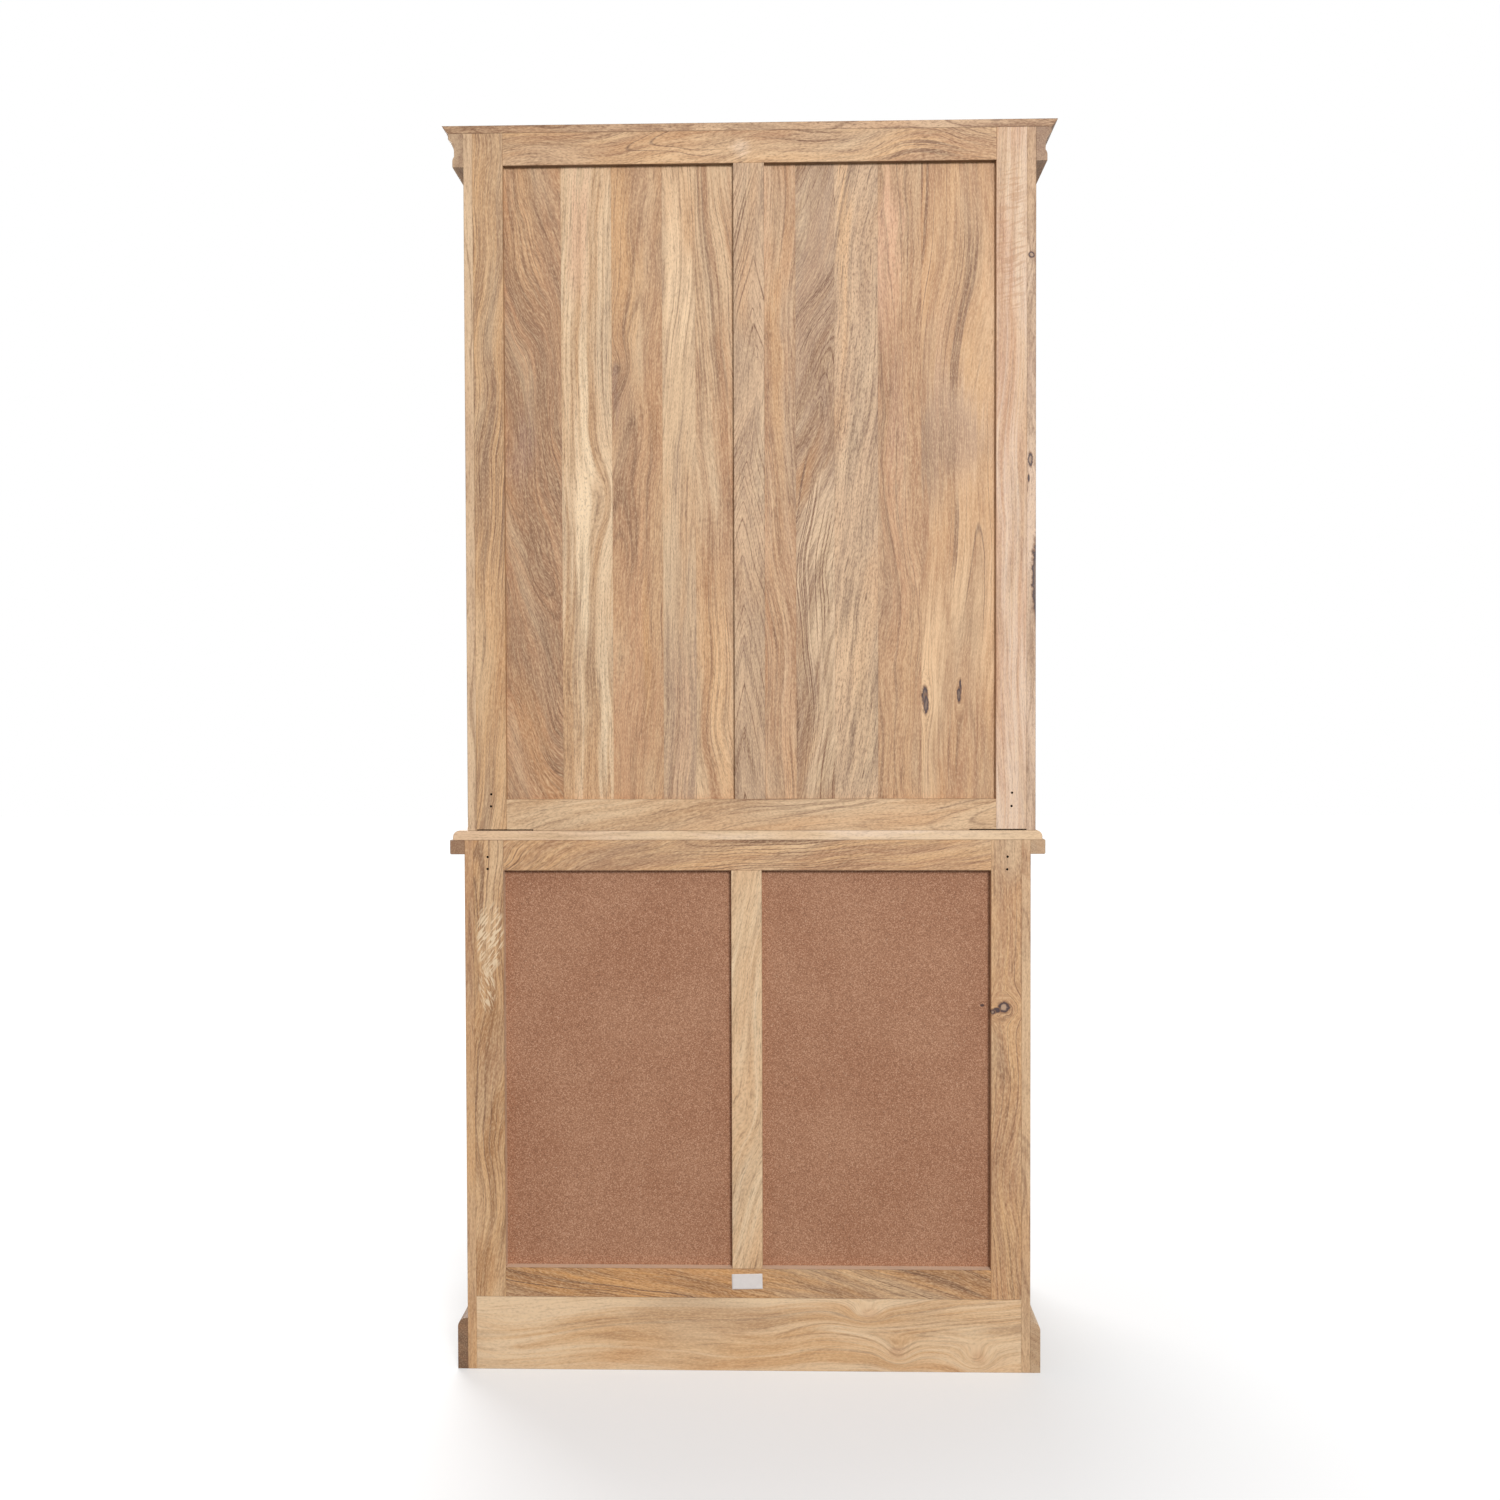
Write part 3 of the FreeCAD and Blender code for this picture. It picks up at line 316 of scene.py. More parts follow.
def placed(name, data):
    """A new object of the scene that shows a mesh, a lamp or a camera."""
    made = bpy.data.objects.new(name, data)
    bpy.context.scene.collection.objects.link(made)
    return made


def build(name, arrays, body, finish, smooth=SHARP_ANGLE):
    """A piece that rides on a body, from corner places, face sizes and face corners."""
    places, sizes, corners = arrays
    mesh = bpy.data.meshes.new(name)
    mesh.vertices.add(len(places))
    mesh.vertices.foreach_set("co", places.reshape(-1).astype(np.float32))
    mesh.loops.add(len(corners))
    mesh.loops.foreach_set("vertex_index", corners.astype(np.int32))
    mesh.polygons.add(len(sizes))
    mesh.polygons.foreach_set("loop_start", (np.cumsum(sizes) - sizes).astype(np.int32))
    mesh.update(calc_edges=True)
    mesh.shade_smooth()
    mesh.set_sharp_from_angle(angle=smooth)
    mesh.materials.append(finish)
    piece = placed(name, mesh)
    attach(piece, body)
    return piece


LAYERS = {1: ("FLOAT", "value"), 3: ("FLOAT_VECTOR", "vector"), 4: ("FLOAT_COLOR", "color")}


def write(mesh, name, values):
    """Stores numbers on each face corner of a mesh, where touching boards can differ."""
    values = np.asarray(values, dtype=np.float32).reshape(len(mesh.loops), -1)
    kind, field = LAYERS[values.shape[1]]
    mesh.attributes.new(name, kind, "CORNER").data.foreach_set(field, values.reshape(-1))


def recoat(node, ending, finish):
    """Replaces a node by eased copies of its solids in one finish."""
    parts = [eased(*solid, EASE) for solid in solids_of(node)]
    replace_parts(build(node + ending, joined(parts), home[node], finish), node)


sample = eased(*solids_of("upper_back_muntin")[0], EASE)
print("the muntin has", len(sample[1]), "faces with its edges eased")

# %% [markdown]
# ## How a board was sawn
#
# A board cut beside the heart of the log shows nested arches, one cut further out shows straight lines,
# and one cut askew shows slanting ones. Three numbers say which: how far the heart lies across and
# through from the board's middle, and how much it leans. The tones go from the pale sapwood to the
# darker heartwood. Boards that nobody singles out get theirs by chance, from one seeded generator.

# %% Looks of boards
TONES = {name: colour(*levels) for name, *levels in [
    ("ivory", 234, 207, 183), ("petal", 222, 193, 168), ("butter", 228, 202, 167),
    ("cream", 226, 195, 158), ("straw", 214, 179, 140), ("sand", 204, 168, 133),
    ("honey", 206, 161, 114), ("amber", 196, 147, 96), ("copper", 208, 152, 92),
    ("tan", 193, 151, 110), ("rose", 200, 154, 122), ("clay", 177, 131, 94),
    ("drab", 173, 141, 114), ("russet", 164, 116, 73), ("umber", 152, 114, 84),
    ("mauve", 142, 109, 92), ("bark", 124, 87, 59), ("shadow", 62, 42, 29),
]}
PAIRS = [("straw", "tan"), ("sand", "clay"), ("honey", "clay"), ("sand", "drab"), ("rose", "umber"),
         ("cream", "tan")]
chance = np.random.default_rng(11)


def sawn(light, dark, across=None, through=None, lean=None, swirl=1.0, lines=1.0, pores=1.0,
         slant=0.0, edge=(0.15, "clay")):
    """How one board looks: its tones, where the heart of its log lies in metres, and its figure.

    across, through and lean place the heart. swirl, lines and pores say how strongly the grain wanders
    and the year lines and pores show. slant is how far the fibres run across the board for each metre
    along it. edge says how strongly the board's narrow long faces differ from its wide ones, and their
    tone. On the two top rails this edge tone is painted shade, and on the base's bottom rail and its
    stile at +X it is painted light.
    tone.
    """
    return {
        "slant": slant,
        "edge_share": edge[0],
        "edge_tone": TONES[edge[1]],
        "light": TONES[light],
        "dark": TONES[dark],
        "pith": (
            chance.uniform(-0.16, 0.16) if across is None else across,
            chance.uniform(0.03, 0.09) if through is None else through,
            chance.uniform(-0.05, 0.05) if lean is None else lean,
        ),
        "figure": (swirl, lines, pores),
        "seed": chance.uniform(5, 45),
    }


FACING = 0.8


def dress(node, looks, wood, ease=EASE):
    """Replaces a node by eased copies of its solids, whose faces carry each board's grain and look.

    A board's grain runs along its longest side. The attribute grain holds the place from the board's
    middle along, across and through it, half holds half of its three sizes, and reach its ends along X.
    A face is an end or an edge where its normal lies along that axis by more than FACING.
    """
    parts = [eased(*solid, ease) for solid in solids_of(node)]
    boards = [dict(looks[number % len(looks)]) for number in range(len(parts))]
    arrays = joined(parts)
    piece = build(node + "_board", arrays, home[node], wood)
    mesh = piece.data
    normals = np.empty(len(mesh.polygons) * 3)
    mesh.polygons.foreach_get("normal", normals)
    normals = np.repeat(np.abs(normals.reshape(-1, 3)), arrays[1], axis=0)
    rows = np.cumsum([0] + [len(part[2]) for part in parts])
    values = {"grain": [], "end": [], "edge": []}
    for board, (places, _, corners), row in zip(boards, parts, rows):
        middle = (places.max(axis=0) + places.min(axis=0)) / 2
        half = (places.max(axis=0) - places.min(axis=0)) / 2
        order = np.argsort(-half, kind="stable")
        board["half"] = half[order]
        board["reach"] = (middle[0] - half[0], middle[0] + half[0], 0.0)
        faces = normals[row:row + len(corners)] > FACING
        values["grain"].append((places - middle)[corners][:, order])
        values["end"].append(faces[:, order[0]])
        values["edge"].append(faces[:, order[1]] * board["edge_share"])
    for key, parts_of in values.items():
        write(mesh, key, np.concatenate(parts_of))
    for key in ("half", "reach", "pith", "figure", "light", "dark", "edge_tone", "seed", "slant"):
        write(mesh, key, np.repeat([board[key] for board in boards], np.diff(rows), axis=0))
    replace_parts(piece, node)


print("tones:", len(TONES), "pairs for the pile:", len(PAIRS))

# %% [markdown]
# ## Wood
#
# Wood is a stack of cones. A point's distance from the heart of the log tells which year grew there, so
# the texture works that distance out and colours by it: broad bands for heartwood and sapwood, fine
# lines for the years. The grain wanders a little, so the place is shifted by slow noise first. The pores
# are short dark dashes that follow the grain whatever way the board was cut, and on a sawn end they
# show as dots. A knot pushes the grain aside, so it shifts the place too, and then adds its dark core,
# which narrows away from the back that it was seen on. A cloud is a patch of stain or of paler wood at a
# place of its own. It keeps the figure under it and ends with its board.

# %% The wood material
DRIFTS = [(colour(198, 144, 94), 5.0, 0.5), (colour(163, 134, 107), 11.0, 0.42),
          (colour(224, 196, 160), 17.0, 0.4)]
PORE_BROWN = colour(100, 68, 44)
RING_BROWN = colour(124, 86, 58)
JOINT_BROWN = colour(86, 58, 40)
SAWN_END = colour(126, 90, 64)
KNOT_DEEP = 12 * MM
KNOT_TAPER = 20 * MM
KNOT_RIM = colour(62, 40, 38)
KNOT_HEART = colour(176, 144, 118)
FLECK_PALE = colour(236, 203, 160)
STAIN_LEVELS = (1.22, 0.84)


def shaded(tone, level):
    """A tone made lighter or darker in the linear values that light adds up in."""
    return (*[min(value * level, 1.0) for value in tone[:3]], 1.0)


def far_from(x, z, spot, sunk=0.0):
    """How far a place lies from a spot (x, z, half width, half height): 1 on its rim, where sunk is 0."""
    dx = (x - spot[0]) / spot[2]
    dz = (z - spot[1]) / spot[3]
    return (dx * dx + dz * dz + sunk * sunk).math("SQRT")


def wood_paint(name, knots=(), clouds=(), eyes=(), ripples=(), joint=0.3, deep=KNOT_DEEP,
               taper=KNOT_TAPER):
    """Hardwood from the faces' own attributes.

    Knots are (x, z, half width, half height, darkness of the heart), eyes (x, z, half width, half
    height), clouds and ripples (x, z, half width, half height, tone, strength), a ripple with the slope
    of its bars besides. An eye turns the grain as a knot does, with no dark core. A ripple is a patch
    where the grain waves, which shows as bars across it. joint is how dark the boards' rims are. A knot
    keeps its size down to deep below the back and narrows from there over taper.
    """
    paint = Paint(name)
    along, across, through = paint.split(paint.attribute("grain"))
    half_along, half_across, half_through = paint.split(paint.attribute("half"))
    heart_across, heart_through, lean = paint.split(paint.attribute("pith"))
    swirl, lines, pores = paint.split(paint.attribute("figure"))
    reach_low, reach_high, _ = paint.split(paint.attribute("reach"))
    seed, end, edge, slant = (paint.attribute(key, "Fac") for key in ("seed", "end", "edge", "slant"))
    light, dark, edge_tone = (paint.attribute(key, "Color") for key in ("light", "dark", "edge_tone"))
    x, y, z = paint.split(paint.place())
    run = along + seed

    def own(spot):
        """1 on the board that holds a spot's middle and 0 on the boards beside it."""
        return reach_low.math("LESS_THAN", spot[0]) * reach_high.math("GREATER_THAN", spot[0])

    # the place, shifted by knots, eyes and the wandering of the grain
    sunk = (back_y - deep - y).math("MAXIMUM", 0.0) / taper
    pushed = across + along * slant
    uneven = paint.noise((x, y, z), 140.0) - 0.5
    cores = []
    for knot in knots:
        *_, wide, tall, heart = knot
        near = x + uneven * wide * 1.4
        far = far_from(near, z + uneven * tall * 0.3, knot, sunk + uneven * 0.8)
        pushed = pushed - (near - knot[0]) * (far * far * -0.1).math("EXPONENT")
        cores.append((far, heart))
    for eye in eyes:
        far = far_from(x, z, eye)
        pushed = pushed + (far * far * -0.5).math("EXPONENT") * own(eye) * eye[2] * 1.3
    slow = paint.noise((run * 1.3, across * 4.5, seed), detail=1.0) - 0.5
    quick = paint.noise((run * 4.5, across * 12.0, through * 12.0 + seed)) - 0.5
    bend = paint.noise((run * 3.0, across * 6.0, seed + 31.0), detail=1.0) - 0.5
    shifted = pushed + slow * 0.09 + bend * swirl * 0.036 + quick * swirl * 0.012
    inner = through + quick * 0.006
    side = shifted - heart_across
    depth = inner - heart_through
    year = (side * side + depth * depth).math("SQRT") + run * lean

    # heartwood and sapwood, drifting tones and clouds
    bands = paint.noise((year * 60.0, run * 0.5, seed), detail=3.0, roughness=0.6)
    stripes = paint.noise((year * 300.0, run * 2.0, seed), roughness=0.6)
    patches = paint.noise((run * 2.6, shifted * 13.0, seed + 3.0))
    fibres = paint.noise((run * 7.0, shifted * 120.0, inner * 120.0))
    share = (bands * 0.36 + patches * 0.3 + stripes * 0.17 + fibres * 0.17).rise(0.43, 0.58)
    tone = paint.mix(share, light, dark)
    for other, shift, strength in DRIFTS:
        drift = paint.noise((run * 3.2, shifted * 15.0, seed + shift))
        tone = paint.mix(drift.rise(0.5, 0.72) * strength, tone, other)
    tone = paint.mix(bands.rise(0.55, 0.8) * 0.25, tone, TONES["umber"])
    for cloud in clouds:
        *_, wide, tall, other, strength = cloud
        far = far_from(x + quick * wide * 3.0, z + (slow * 2.0 + bend * 1.2) * tall, cloud)
        ragged = far + (fibres - 0.5) * 1.4 + (bands - 0.5) * 0.8
        stain = paint.mix(share, *(shaded(TONES[other], level) for level in STAIN_LEVELS))
        tone = paint.mix(ragged.fall(0.2, 1.15) * own(cloud) * strength, tone, stain)

    # year lines, pores and pale flecks
    border = paint.noise((year * 110.0, run * 0.35, seed + 9.0), detail=1.0)
    ring = (1.0 - abs(border - 0.5) * 24.0).rise(0.0, 1.0)
    streak = paint.noise((run * 24.0, shifted * 380.0, inner * 380.0), roughness=0.6)
    grit = paint.noise((run * 170.0, shifted * 560.0, inner * 560.0), detail=1.0, roughness=0.6)
    tick = grit.rise(0.63, 0.75)
    lively = paint.noise((run * 3.0, across * 9.0, seed + 23.0), detail=1.0).rise(0.4, 0.57)
    for amount, other in ((ring * lines * lively * 0.62, RING_BROWN),
                          (streak.rise(0.55, 0.74) * pores * 0.48, PORE_BROWN),
                          ((0.51 - streak) * 1.3, FLECK_PALE),
                          ((fibres - 0.52) * pores * 1.1, PORE_BROWN),
                          ((grit - 0.5) * pores * 1.3, PORE_BROWN),
                          ((0.5 - grit) * 1.4, FLECK_PALE)):
        tone = paint.mix(amount, tone, other)
    for ripple in ripples:
        *_, other, strength, slope = ripple
        far = far_from(x + quick * 0.05, z, ripple)
        over = z + x * slope + quick * 0.02
        wave = paint.noise((over * 190.0, (x - z * slope) * 30.0, seed), detail=1.0).rise(0.48, 0.62)
        tone = paint.mix(wave * far.fall(0.5, 1.0) * strength, tone, TONES[other])

    # sawn ends, edges (painted shade on the top rails, painted light on the base's bottom rail and one
    # stile), the cores of knots and the boards' rims
    tone = paint.mix(end * 0.42, tone, SAWN_END)
    tone = paint.mix(edge, tone, edge_tone)
    for core, heart in cores:
        tone = paint.mix(core.fall(0.9, 1.5), tone, RING_BROWN)
        tone = paint.mix(core.fall(0.85, 1.1), tone, KNOT_RIM)
        tone = paint.mix(core.fall(0.4, 0.75) * heart, tone, KNOT_HEART)
    gaps = [half_along - abs(along), half_across - abs(across), half_through - abs(through)]
    pairs = [gaps[a].math("MAXIMUM", gaps[b]) for a, b in ((0, 1), (0, 2), (1, 2))]
    rim = pairs[0].math("MINIMUM", pairs[1]).math("MINIMUM", pairs[2]).fall(0.3 * MM, 1.2 * MM)
    tone = paint.mix(rim * joint, tone, JOINT_BROWN)

    rough = 0.55 + tick * 0.15 + share * 0.05
    height = tick * -0.6 + streak * -0.3 + stripes * 0.3
    return paint.set(Base_Color=tone, Roughness=rough, Normal=paint.bump(height, 0.35, 0.3 * MM))


hardwood = wood_paint("pale_hardwood")
print("nodes in the wood material:", len(hardwood.node_tree.nodes))

# %% [markdown]
# ## Marks that belong to one board
#
# The right-hand panel has two slits where knots were cut through, and the lower stile has a round knot
# with a tail. The edge of the upper side has two round knots, a small one and a patch of bark. Stains of
# darker heartwood and paler patches cross the panels and a few rails and stiles, and three boards have a
# patch that ripples or feathers. They are read off the picture and named here by where they lie on the
# back, in metres.

# %% Knots and clouds
panel_knots = [(-0.294, 1.144, 0.0046, 0.015, 0.35), (-0.2962, 1.129, 0.0038, 0.016, 0.35),
               (-0.3535, 1.156, 0.0018, 0.015, 0.0), (-0.3512, 1.145, 0.0032, 0.012, 0.35)]
panel_eyes = [(0.2213, 1.6944, 0.024, 0.03), (0.233, 1.47, 0.026, 0.06)]
stile_knots = [(-0.4253, 0.6202, 0.0095, 0.009, 1.0), (-0.413, 0.615, 0.0065, 0.0042, 0.0),
               (-0.4072, 0.6115, 0.0036, 0.0036, 0.6)]
edge_knots = [(-0.4693, 1.876, 0.0048, 0.005, 0.9), (-0.4688, 1.5366, 0.0036, 0.011, 0.8),
              (-0.4658, 1.506, 0.0016, 0.006, 0.0), (-0.479, 1.3362, 0.007, 0.064, 0.3)]
sheet_knots = [(-0.391, 0.62, 0.0042, 0.0024)]
left_clouds = [
    (0.378, 1.93, 0.034, 0.13, "tan", 0.7), (0.38, 1.76, 0.03, 0.08, "clay", 0.5),
    (0.384, 1.575, 0.036, 0.09, "mauve", 0.65), (0.365, 1.5, 0.024, 0.05, "umber", 0.45),
    (0.29, 1.95, 0.03, 0.16, "rose", 0.6), (0.277, 1.45, 0.016, 0.38, "butter", 0.8),
    (0.247, 1.1, 0.014, 0.18, "butter", 0.7), (0.212, 1.85, 0.026, 0.2, "amber", 0.5),
    (0.212, 1.64, 0.022, 0.07, "umber", 0.7), (0.222, 1.693, 0.009, 0.012, "bark", 0.95),
    (0.226, 1.65, 0.01, 0.05, "mauve", 0.6), (0.42, 1.31, 0.03, 0.16, "drab", 0.6),
    (0.205, 1.12, 0.038, 0.24, "clay", 0.85), (0.2, 1.13, 0.038, 0.22, "umber", 0.2),
    (0.16, 1.592, 0.014, 0.05, "russet", 0.4), (0.192, 1.38, 0.036, 0.2, "clay", 0.75),
    (0.176, 1.22, 0.008, 0.15, "amber", 0.6), (0.12, 1.9, 0.024, 0.17, "cream", 0.6),
    (0.12, 1.1, 0.024, 0.17, "rose", 0.4), (0.05, 1.15, 0.026, 0.22, "honey", 0.6),
]
right_clouds = [
    (-0.045, 1.6, 0.016, 0.3, "amber", 0.55), (-0.068, 1.18, 0.014, 0.2, "clay", 0.55),
    (-0.105, 1.86, 0.032, 0.26, "umber", 0.5), (-0.16, 1.9, 0.016, 0.2, "honey", 0.6),
    (-0.14, 1.23, 0.07, 0.34, "cream", 0.55), (-0.24, 1.88, 0.028, 0.19, "rose", 0.8),
    (-0.252, 1.7, 0.024, 0.2, "clay", 0.8), (-0.245, 1.4, 0.034, 0.26, "clay", 0.85),
    (-0.18, 1.18, 0.04, 0.22, "straw", 0.45), (-0.256, 1.62, 0.02, 0.14, "mauve", 0.3),
    (-0.345, 1.9, 0.06, 0.14, "tan", 0.6), (-0.335, 1.59, 0.095, 0.115, "drab", 0.9),
    (-0.33, 1.57, 0.07, 0.085, "umber", 0.68), (-0.355, 1.48, 0.06, 0.06, "tan", 0.45),
    (-0.345, 1.25, 0.1, 0.26, "straw", 0.6), (-0.33, 1.75, 0.03, 0.12, "clay", 0.4),
]
stile_clouds = [(0.4424, 1.3746, 0.02, 0.16, "tan", 0.35)]
flame_clouds = [(0.448, 0.7497, 0.016, 0.09, "straw", 0.6), (0.45, 0.52, 0.018, 0.07, "clay", 0.6),
                (0.455, 0.17, 0.03, 0.05, "russet", 0.6)]
rail_clouds = [(0.33, 2.05, 0.09, 0.03, "drab", 0.55), (0.06, 2.06, 0.12, 0.03, "straw", 0.6),
               (0.015, 2.056, 0.022, 0.016, "ivory", 0.45)]
plinth_eyes = [(-0.1932, 0.0968, 0.022, 0.013), (-0.2472, 0.0306, 0.02, 0.018),
               (-0.3787, 0.0214, 0.02, 0.018)]
plinth_clouds = [(x, z, wide * 0.9, tall * 0.9, "clay", 0.5) for x, z, wide, tall in plinth_eyes]
stile_ripples = [(-0.44, 1.9, 0.04, 0.19, "clay", 0.45, 0.22)]
rail_ripples = [(0.3, 0.87, 0.15, 0.05, "clay", 0.28, 7.0)]
flame_ripples = [(0.445, 0.735, 0.026, 0.075, "butter", 0.9, 1.4),
                 (0.451, 0.65, 0.016, 0.05, "butter", 0.8, -2.2)]

GLUED_JOINT = 0.06
left_panel_wood = wood_paint("upper_left_panel_wood", (), left_clouds, panel_eyes, joint=GLUED_JOINT)
right_panel_wood = wood_paint("upper_right_panel_wood", panel_knots, right_clouds, joint=GLUED_JOINT)
plinth_wood = wood_paint("plinth_wood", eyes=plinth_eyes, clouds=plinth_clouds)
rippled_wood = wood_paint("rippled_wood", ripples=stile_ripples + rail_ripples)
knotty_stile_wood = wood_paint("knotty_stile_wood", knots=stile_knots)
knotty_side_wood = wood_paint("knotty_side_wood", knots=edge_knots, deep=1 * MM, taper=5 * MM)
stile_wood = wood_paint("clouded_stile_wood", clouds=stile_clouds + flame_clouds, ripples=flame_ripples)
rail_wood = wood_paint("clouded_rail_wood", clouds=rail_clouds)
print("knots:", len(panel_knots + stile_knots + edge_knots + sheet_knots))

# %% [markdown]
# ## The boards that the picture shows
#
# The back is made of the boards that were not good enough for the front, so no two are alike. Each line
# below says what one board looks like. The panels list their five boards from the frame's -X to its +X.

# %% Boards of the back
# The next edge tone is painted shade: the top rails' narrow faces, whose lower one faces down into the
# shade under the rail, take a near-black brown.
PAINTED_SHADE_EDGE = (0.7, "shadow")
# The next edge tone is painted light: the bottom rail's narrow faces, whose upper one faces up into the
# key light, take a pale ivory.
PAINTED_LIGHT_EDGE = (0.8, "ivory")
BACK_BOARDS = {
    "upper_back_stile_right": (stile_wood, sawn("honey", "umber", 0.09, 0.03, 0.03, 2.4, 1.4, slant=0.1)),
    "upper_back_stile_left": (rippled_wood, sawn("petal", "rose", -0.12, 0.05, 0.02, 1.6, 0.5, 0.7)),
    # its narrow faces carry painted shade
    "upper_back_top_rail": (
        rail_wood, sawn("honey", "clay", 0.03, 0.035, 0.12, 3.0, 1.6, 1.3, slant=0.1, edge=PAINTED_SHADE_EDGE)),
    "upper_back_bottom_rail": (hardwood, sawn("straw", "tan", -0.05, 0.05, 0.05, 2.2, slant=0.12)),
    "upper_back_muntin": (hardwood, sawn("sand", "drab", 0.002, 0.01, 0.26, 1.4, 1.6)),
    "upper_back_panel_right": (
        left_panel_wood,
        sawn("straw", "clay", -0.1, 0.05, 0.02, 1.6, slant=-0.08),
        sawn("straw", "drab", 0.08, 0.06, -0.02, 1.0, slant=0.03),
        sawn("tan", "clay", 0.02, 0.05, 0.05, 2.6, slant=0.1),
        sawn("cream", "tan", 0.12, 0.04, 0.0, 0.9, 0.7, 1.2),
        sawn("clay", "umber", 0.02, 0.03, -0.1, 3.2, 1.1, slant=-0.28),
    ),
    "upper_back_panel_left": (
        right_panel_wood,
        sawn("honey", "clay", -0.03, 0.04, 0.03, 1.3, 1.4, 0.6, slant=0.03),
        sawn("tan", "clay", 0.05, 0.05, 0.04, 2.6),
        sawn("sand", "drab", -0.1, 0.04, -0.02, 1.2, 0.6, 1.6, slant=0.12),
        sawn("drab", "umber", 0.036, 0.012, 0.26, 2.0, 2.4, slant=0.3),
        sawn("sand", "clay", -0.08, 0.05, 0.03, 1.2, slant=-0.06),
    ),
    "waist_board": (hardwood, sawn("ivory", "cream", 0.15, 0.03, 0.0, 0.7, 0.6, edge=(0.3, "cream"))),
    # its narrow faces carry painted shade
    "base_back_top_rail": (
        rippled_wood, sawn("honey", "clay", 0.04, 0.03, 0.14, 2.6, 2.0, 1.2, slant=0.26, edge=PAINTED_SHADE_EDGE)),
    # its narrow faces carry painted light
    "base_back_bottom_rail": (
        hardwood, sawn("copper", "russet", 0.03, 0.03, -0.12, 2.2, 2.0, 1.3, slant=-0.28, edge=PAINTED_LIGHT_EDGE)),
    # this stile's narrow faces carry painted light: its inner one turns toward the key light and takes a
    # pale ivory
    "base_back_stile_right": (
        stile_wood, sawn("honey", "russet", 0.06, 0.04, 0.08, 2.8, 1.4, slant=0.1, edge=(0.5, "ivory"))),
    "base_back_stile_left": (knotty_stile_wood, sawn("honey", "clay", -0.05, 0.04, 0.02, 1.6, 1.4)),
    "base_back_muntin": (hardwood, sawn("butter", "straw", 0.08, 0.04, 0.05, 2.0, slant=0.14)),
    "plinth_back_board": (plinth_wood, sawn("cream", "honey", 0.0, 0.02, 0.05, 2.2, 0.6, 0.5)),
    "crown_board": (rail_wood, sawn("sand", "umber", 0.1, 0.03, 0.03, 2.6, 1.6, 1.6)),
    "crown_moulding_right": (hardwood, sawn("cream", "drab")),
    "crown_moulding_left": (hardwood, sawn("drab", "mauve")),
    "plinth_moulding_right": (hardwood, sawn("bark", "shadow")),
    "plinth_moulding_left": (hardwood, sawn("cream", "straw")),
    "waist_moulding_right": (hardwood, sawn("umber", "bark")),
    "waist_moulding_left": (hardwood, sawn("cream", "straw")),
    "upper_side_right": (hardwood, sawn("cream", "sand", 0.1, 0.03, 0.01)),
    "upper_side_left": (knotty_side_wood, sawn("petal", "mauve", 0.05, 0.03, 0.03, 2.0)),
    "base_side_right": (hardwood, sawn("honey", "clay", 0.08, 0.03, 0.02, 1.6)),
    "base_side_left": (hardwood, sawn("straw", "clay", 0.02, 0.03, 0.04)),
}
GLUED_EASE = 0.05 * MM
for node, (wood, *looks) in BACK_BOARDS.items():
    dress(node, looks, wood, GLUED_EASE if len(looks) > 1 else EASE)
print("boards of the back:", sum(len(looks) for _, *looks in BACK_BOARDS.values()))

# %% [markdown]
# ## The boards that the picture hides
#
# The front, the doors and the shelves are of the same wood. A maker picks the evenest boards for the
# doors, so each door frame gets boards of one pair of tones, with its own grain in every member.

# %% Boards of the front and the inside
NOT_WOOD = ("_pane", "_knob", "_leaves", "_pins", "_catches")
sheets = ["base_back_panel_left", "base_back_panel_right"]
wooden = {node for node in home if not node.endswith(NOT_WOOD)} - set(sheets)
for node in sorted(wooden - set(BACK_BOARDS)):
    tones = ("straw", "tan") if "door" in node else PAIRS[chance.integers(len(PAIRS))]
    dress(node, [sawn(*tones, lean=chance.uniform(-0.03, 0.03)) for _ in range(counts[node])], hardwood)
print("wooden nodes:", len(wooden))

# %% [markdown]
# ## Fibreboard
#
# The base's two panels are brown hardboard: wood fibres pressed flat, so it has no grain. Seen close it
# is a fine mottle with a few longer pale fibres that lie in all directions. The pale fibres are thin
# ridges of a stretched and bent noise, and only the strongest of them are kept.

# %% The fibreboard material
def fibreboard_paint():
    """Pressed fibres: a mottle of browns and short pale threads, on the panel's own places."""
    paint = Paint("brown_fibreboard")
    place = paint.place()
    x, y, z = paint.split(place)
    mottle = paint.noise(place, 560.0, 2.0, 0.8)
    drift = paint.noise(place, 9.0)
    tone = paint.mix(drift.rise(0.3, 0.7), colour(162, 114, 83), colour(152, 102, 71))
    tone = paint.mix((mottle - 0.5) * 4.0, tone, colour(208, 164, 134))
    tone = paint.mix((0.5 - mottle) * 4.0, tone, colour(108, 70, 49))
    for turn, shift in ((0.5, 0.0), (1.3, 7.0), (2.4, 13.0)):
        along = x * math.cos(turn) + z * math.sin(turn)
        across = z * math.cos(turn) - x * math.sin(turn)
        bent = across + paint.noise(place, 160.0, 1.0) * 0.004
        thread = paint.noise((along * 150.0, bent * 900.0, y + shift), detail=0.0)
        tone = paint.mix(thread.rise(0.78, 0.86) * 0.7, tone, colour(214, 178, 148))
    for spot in sheet_knots:
        far = far_from(x + (mottle - 0.5) * 0.004, z, spot)
        tone = paint.mix(far.fall(0.7, 1.2) * 0.9, tone, KNOT_RIM)
    rough = 0.62 + mottle * 0.2
    return paint.set(Base_Color=tone, Roughness=rough, Normal=paint.bump(mottle, 0.3, 0.2 * MM))


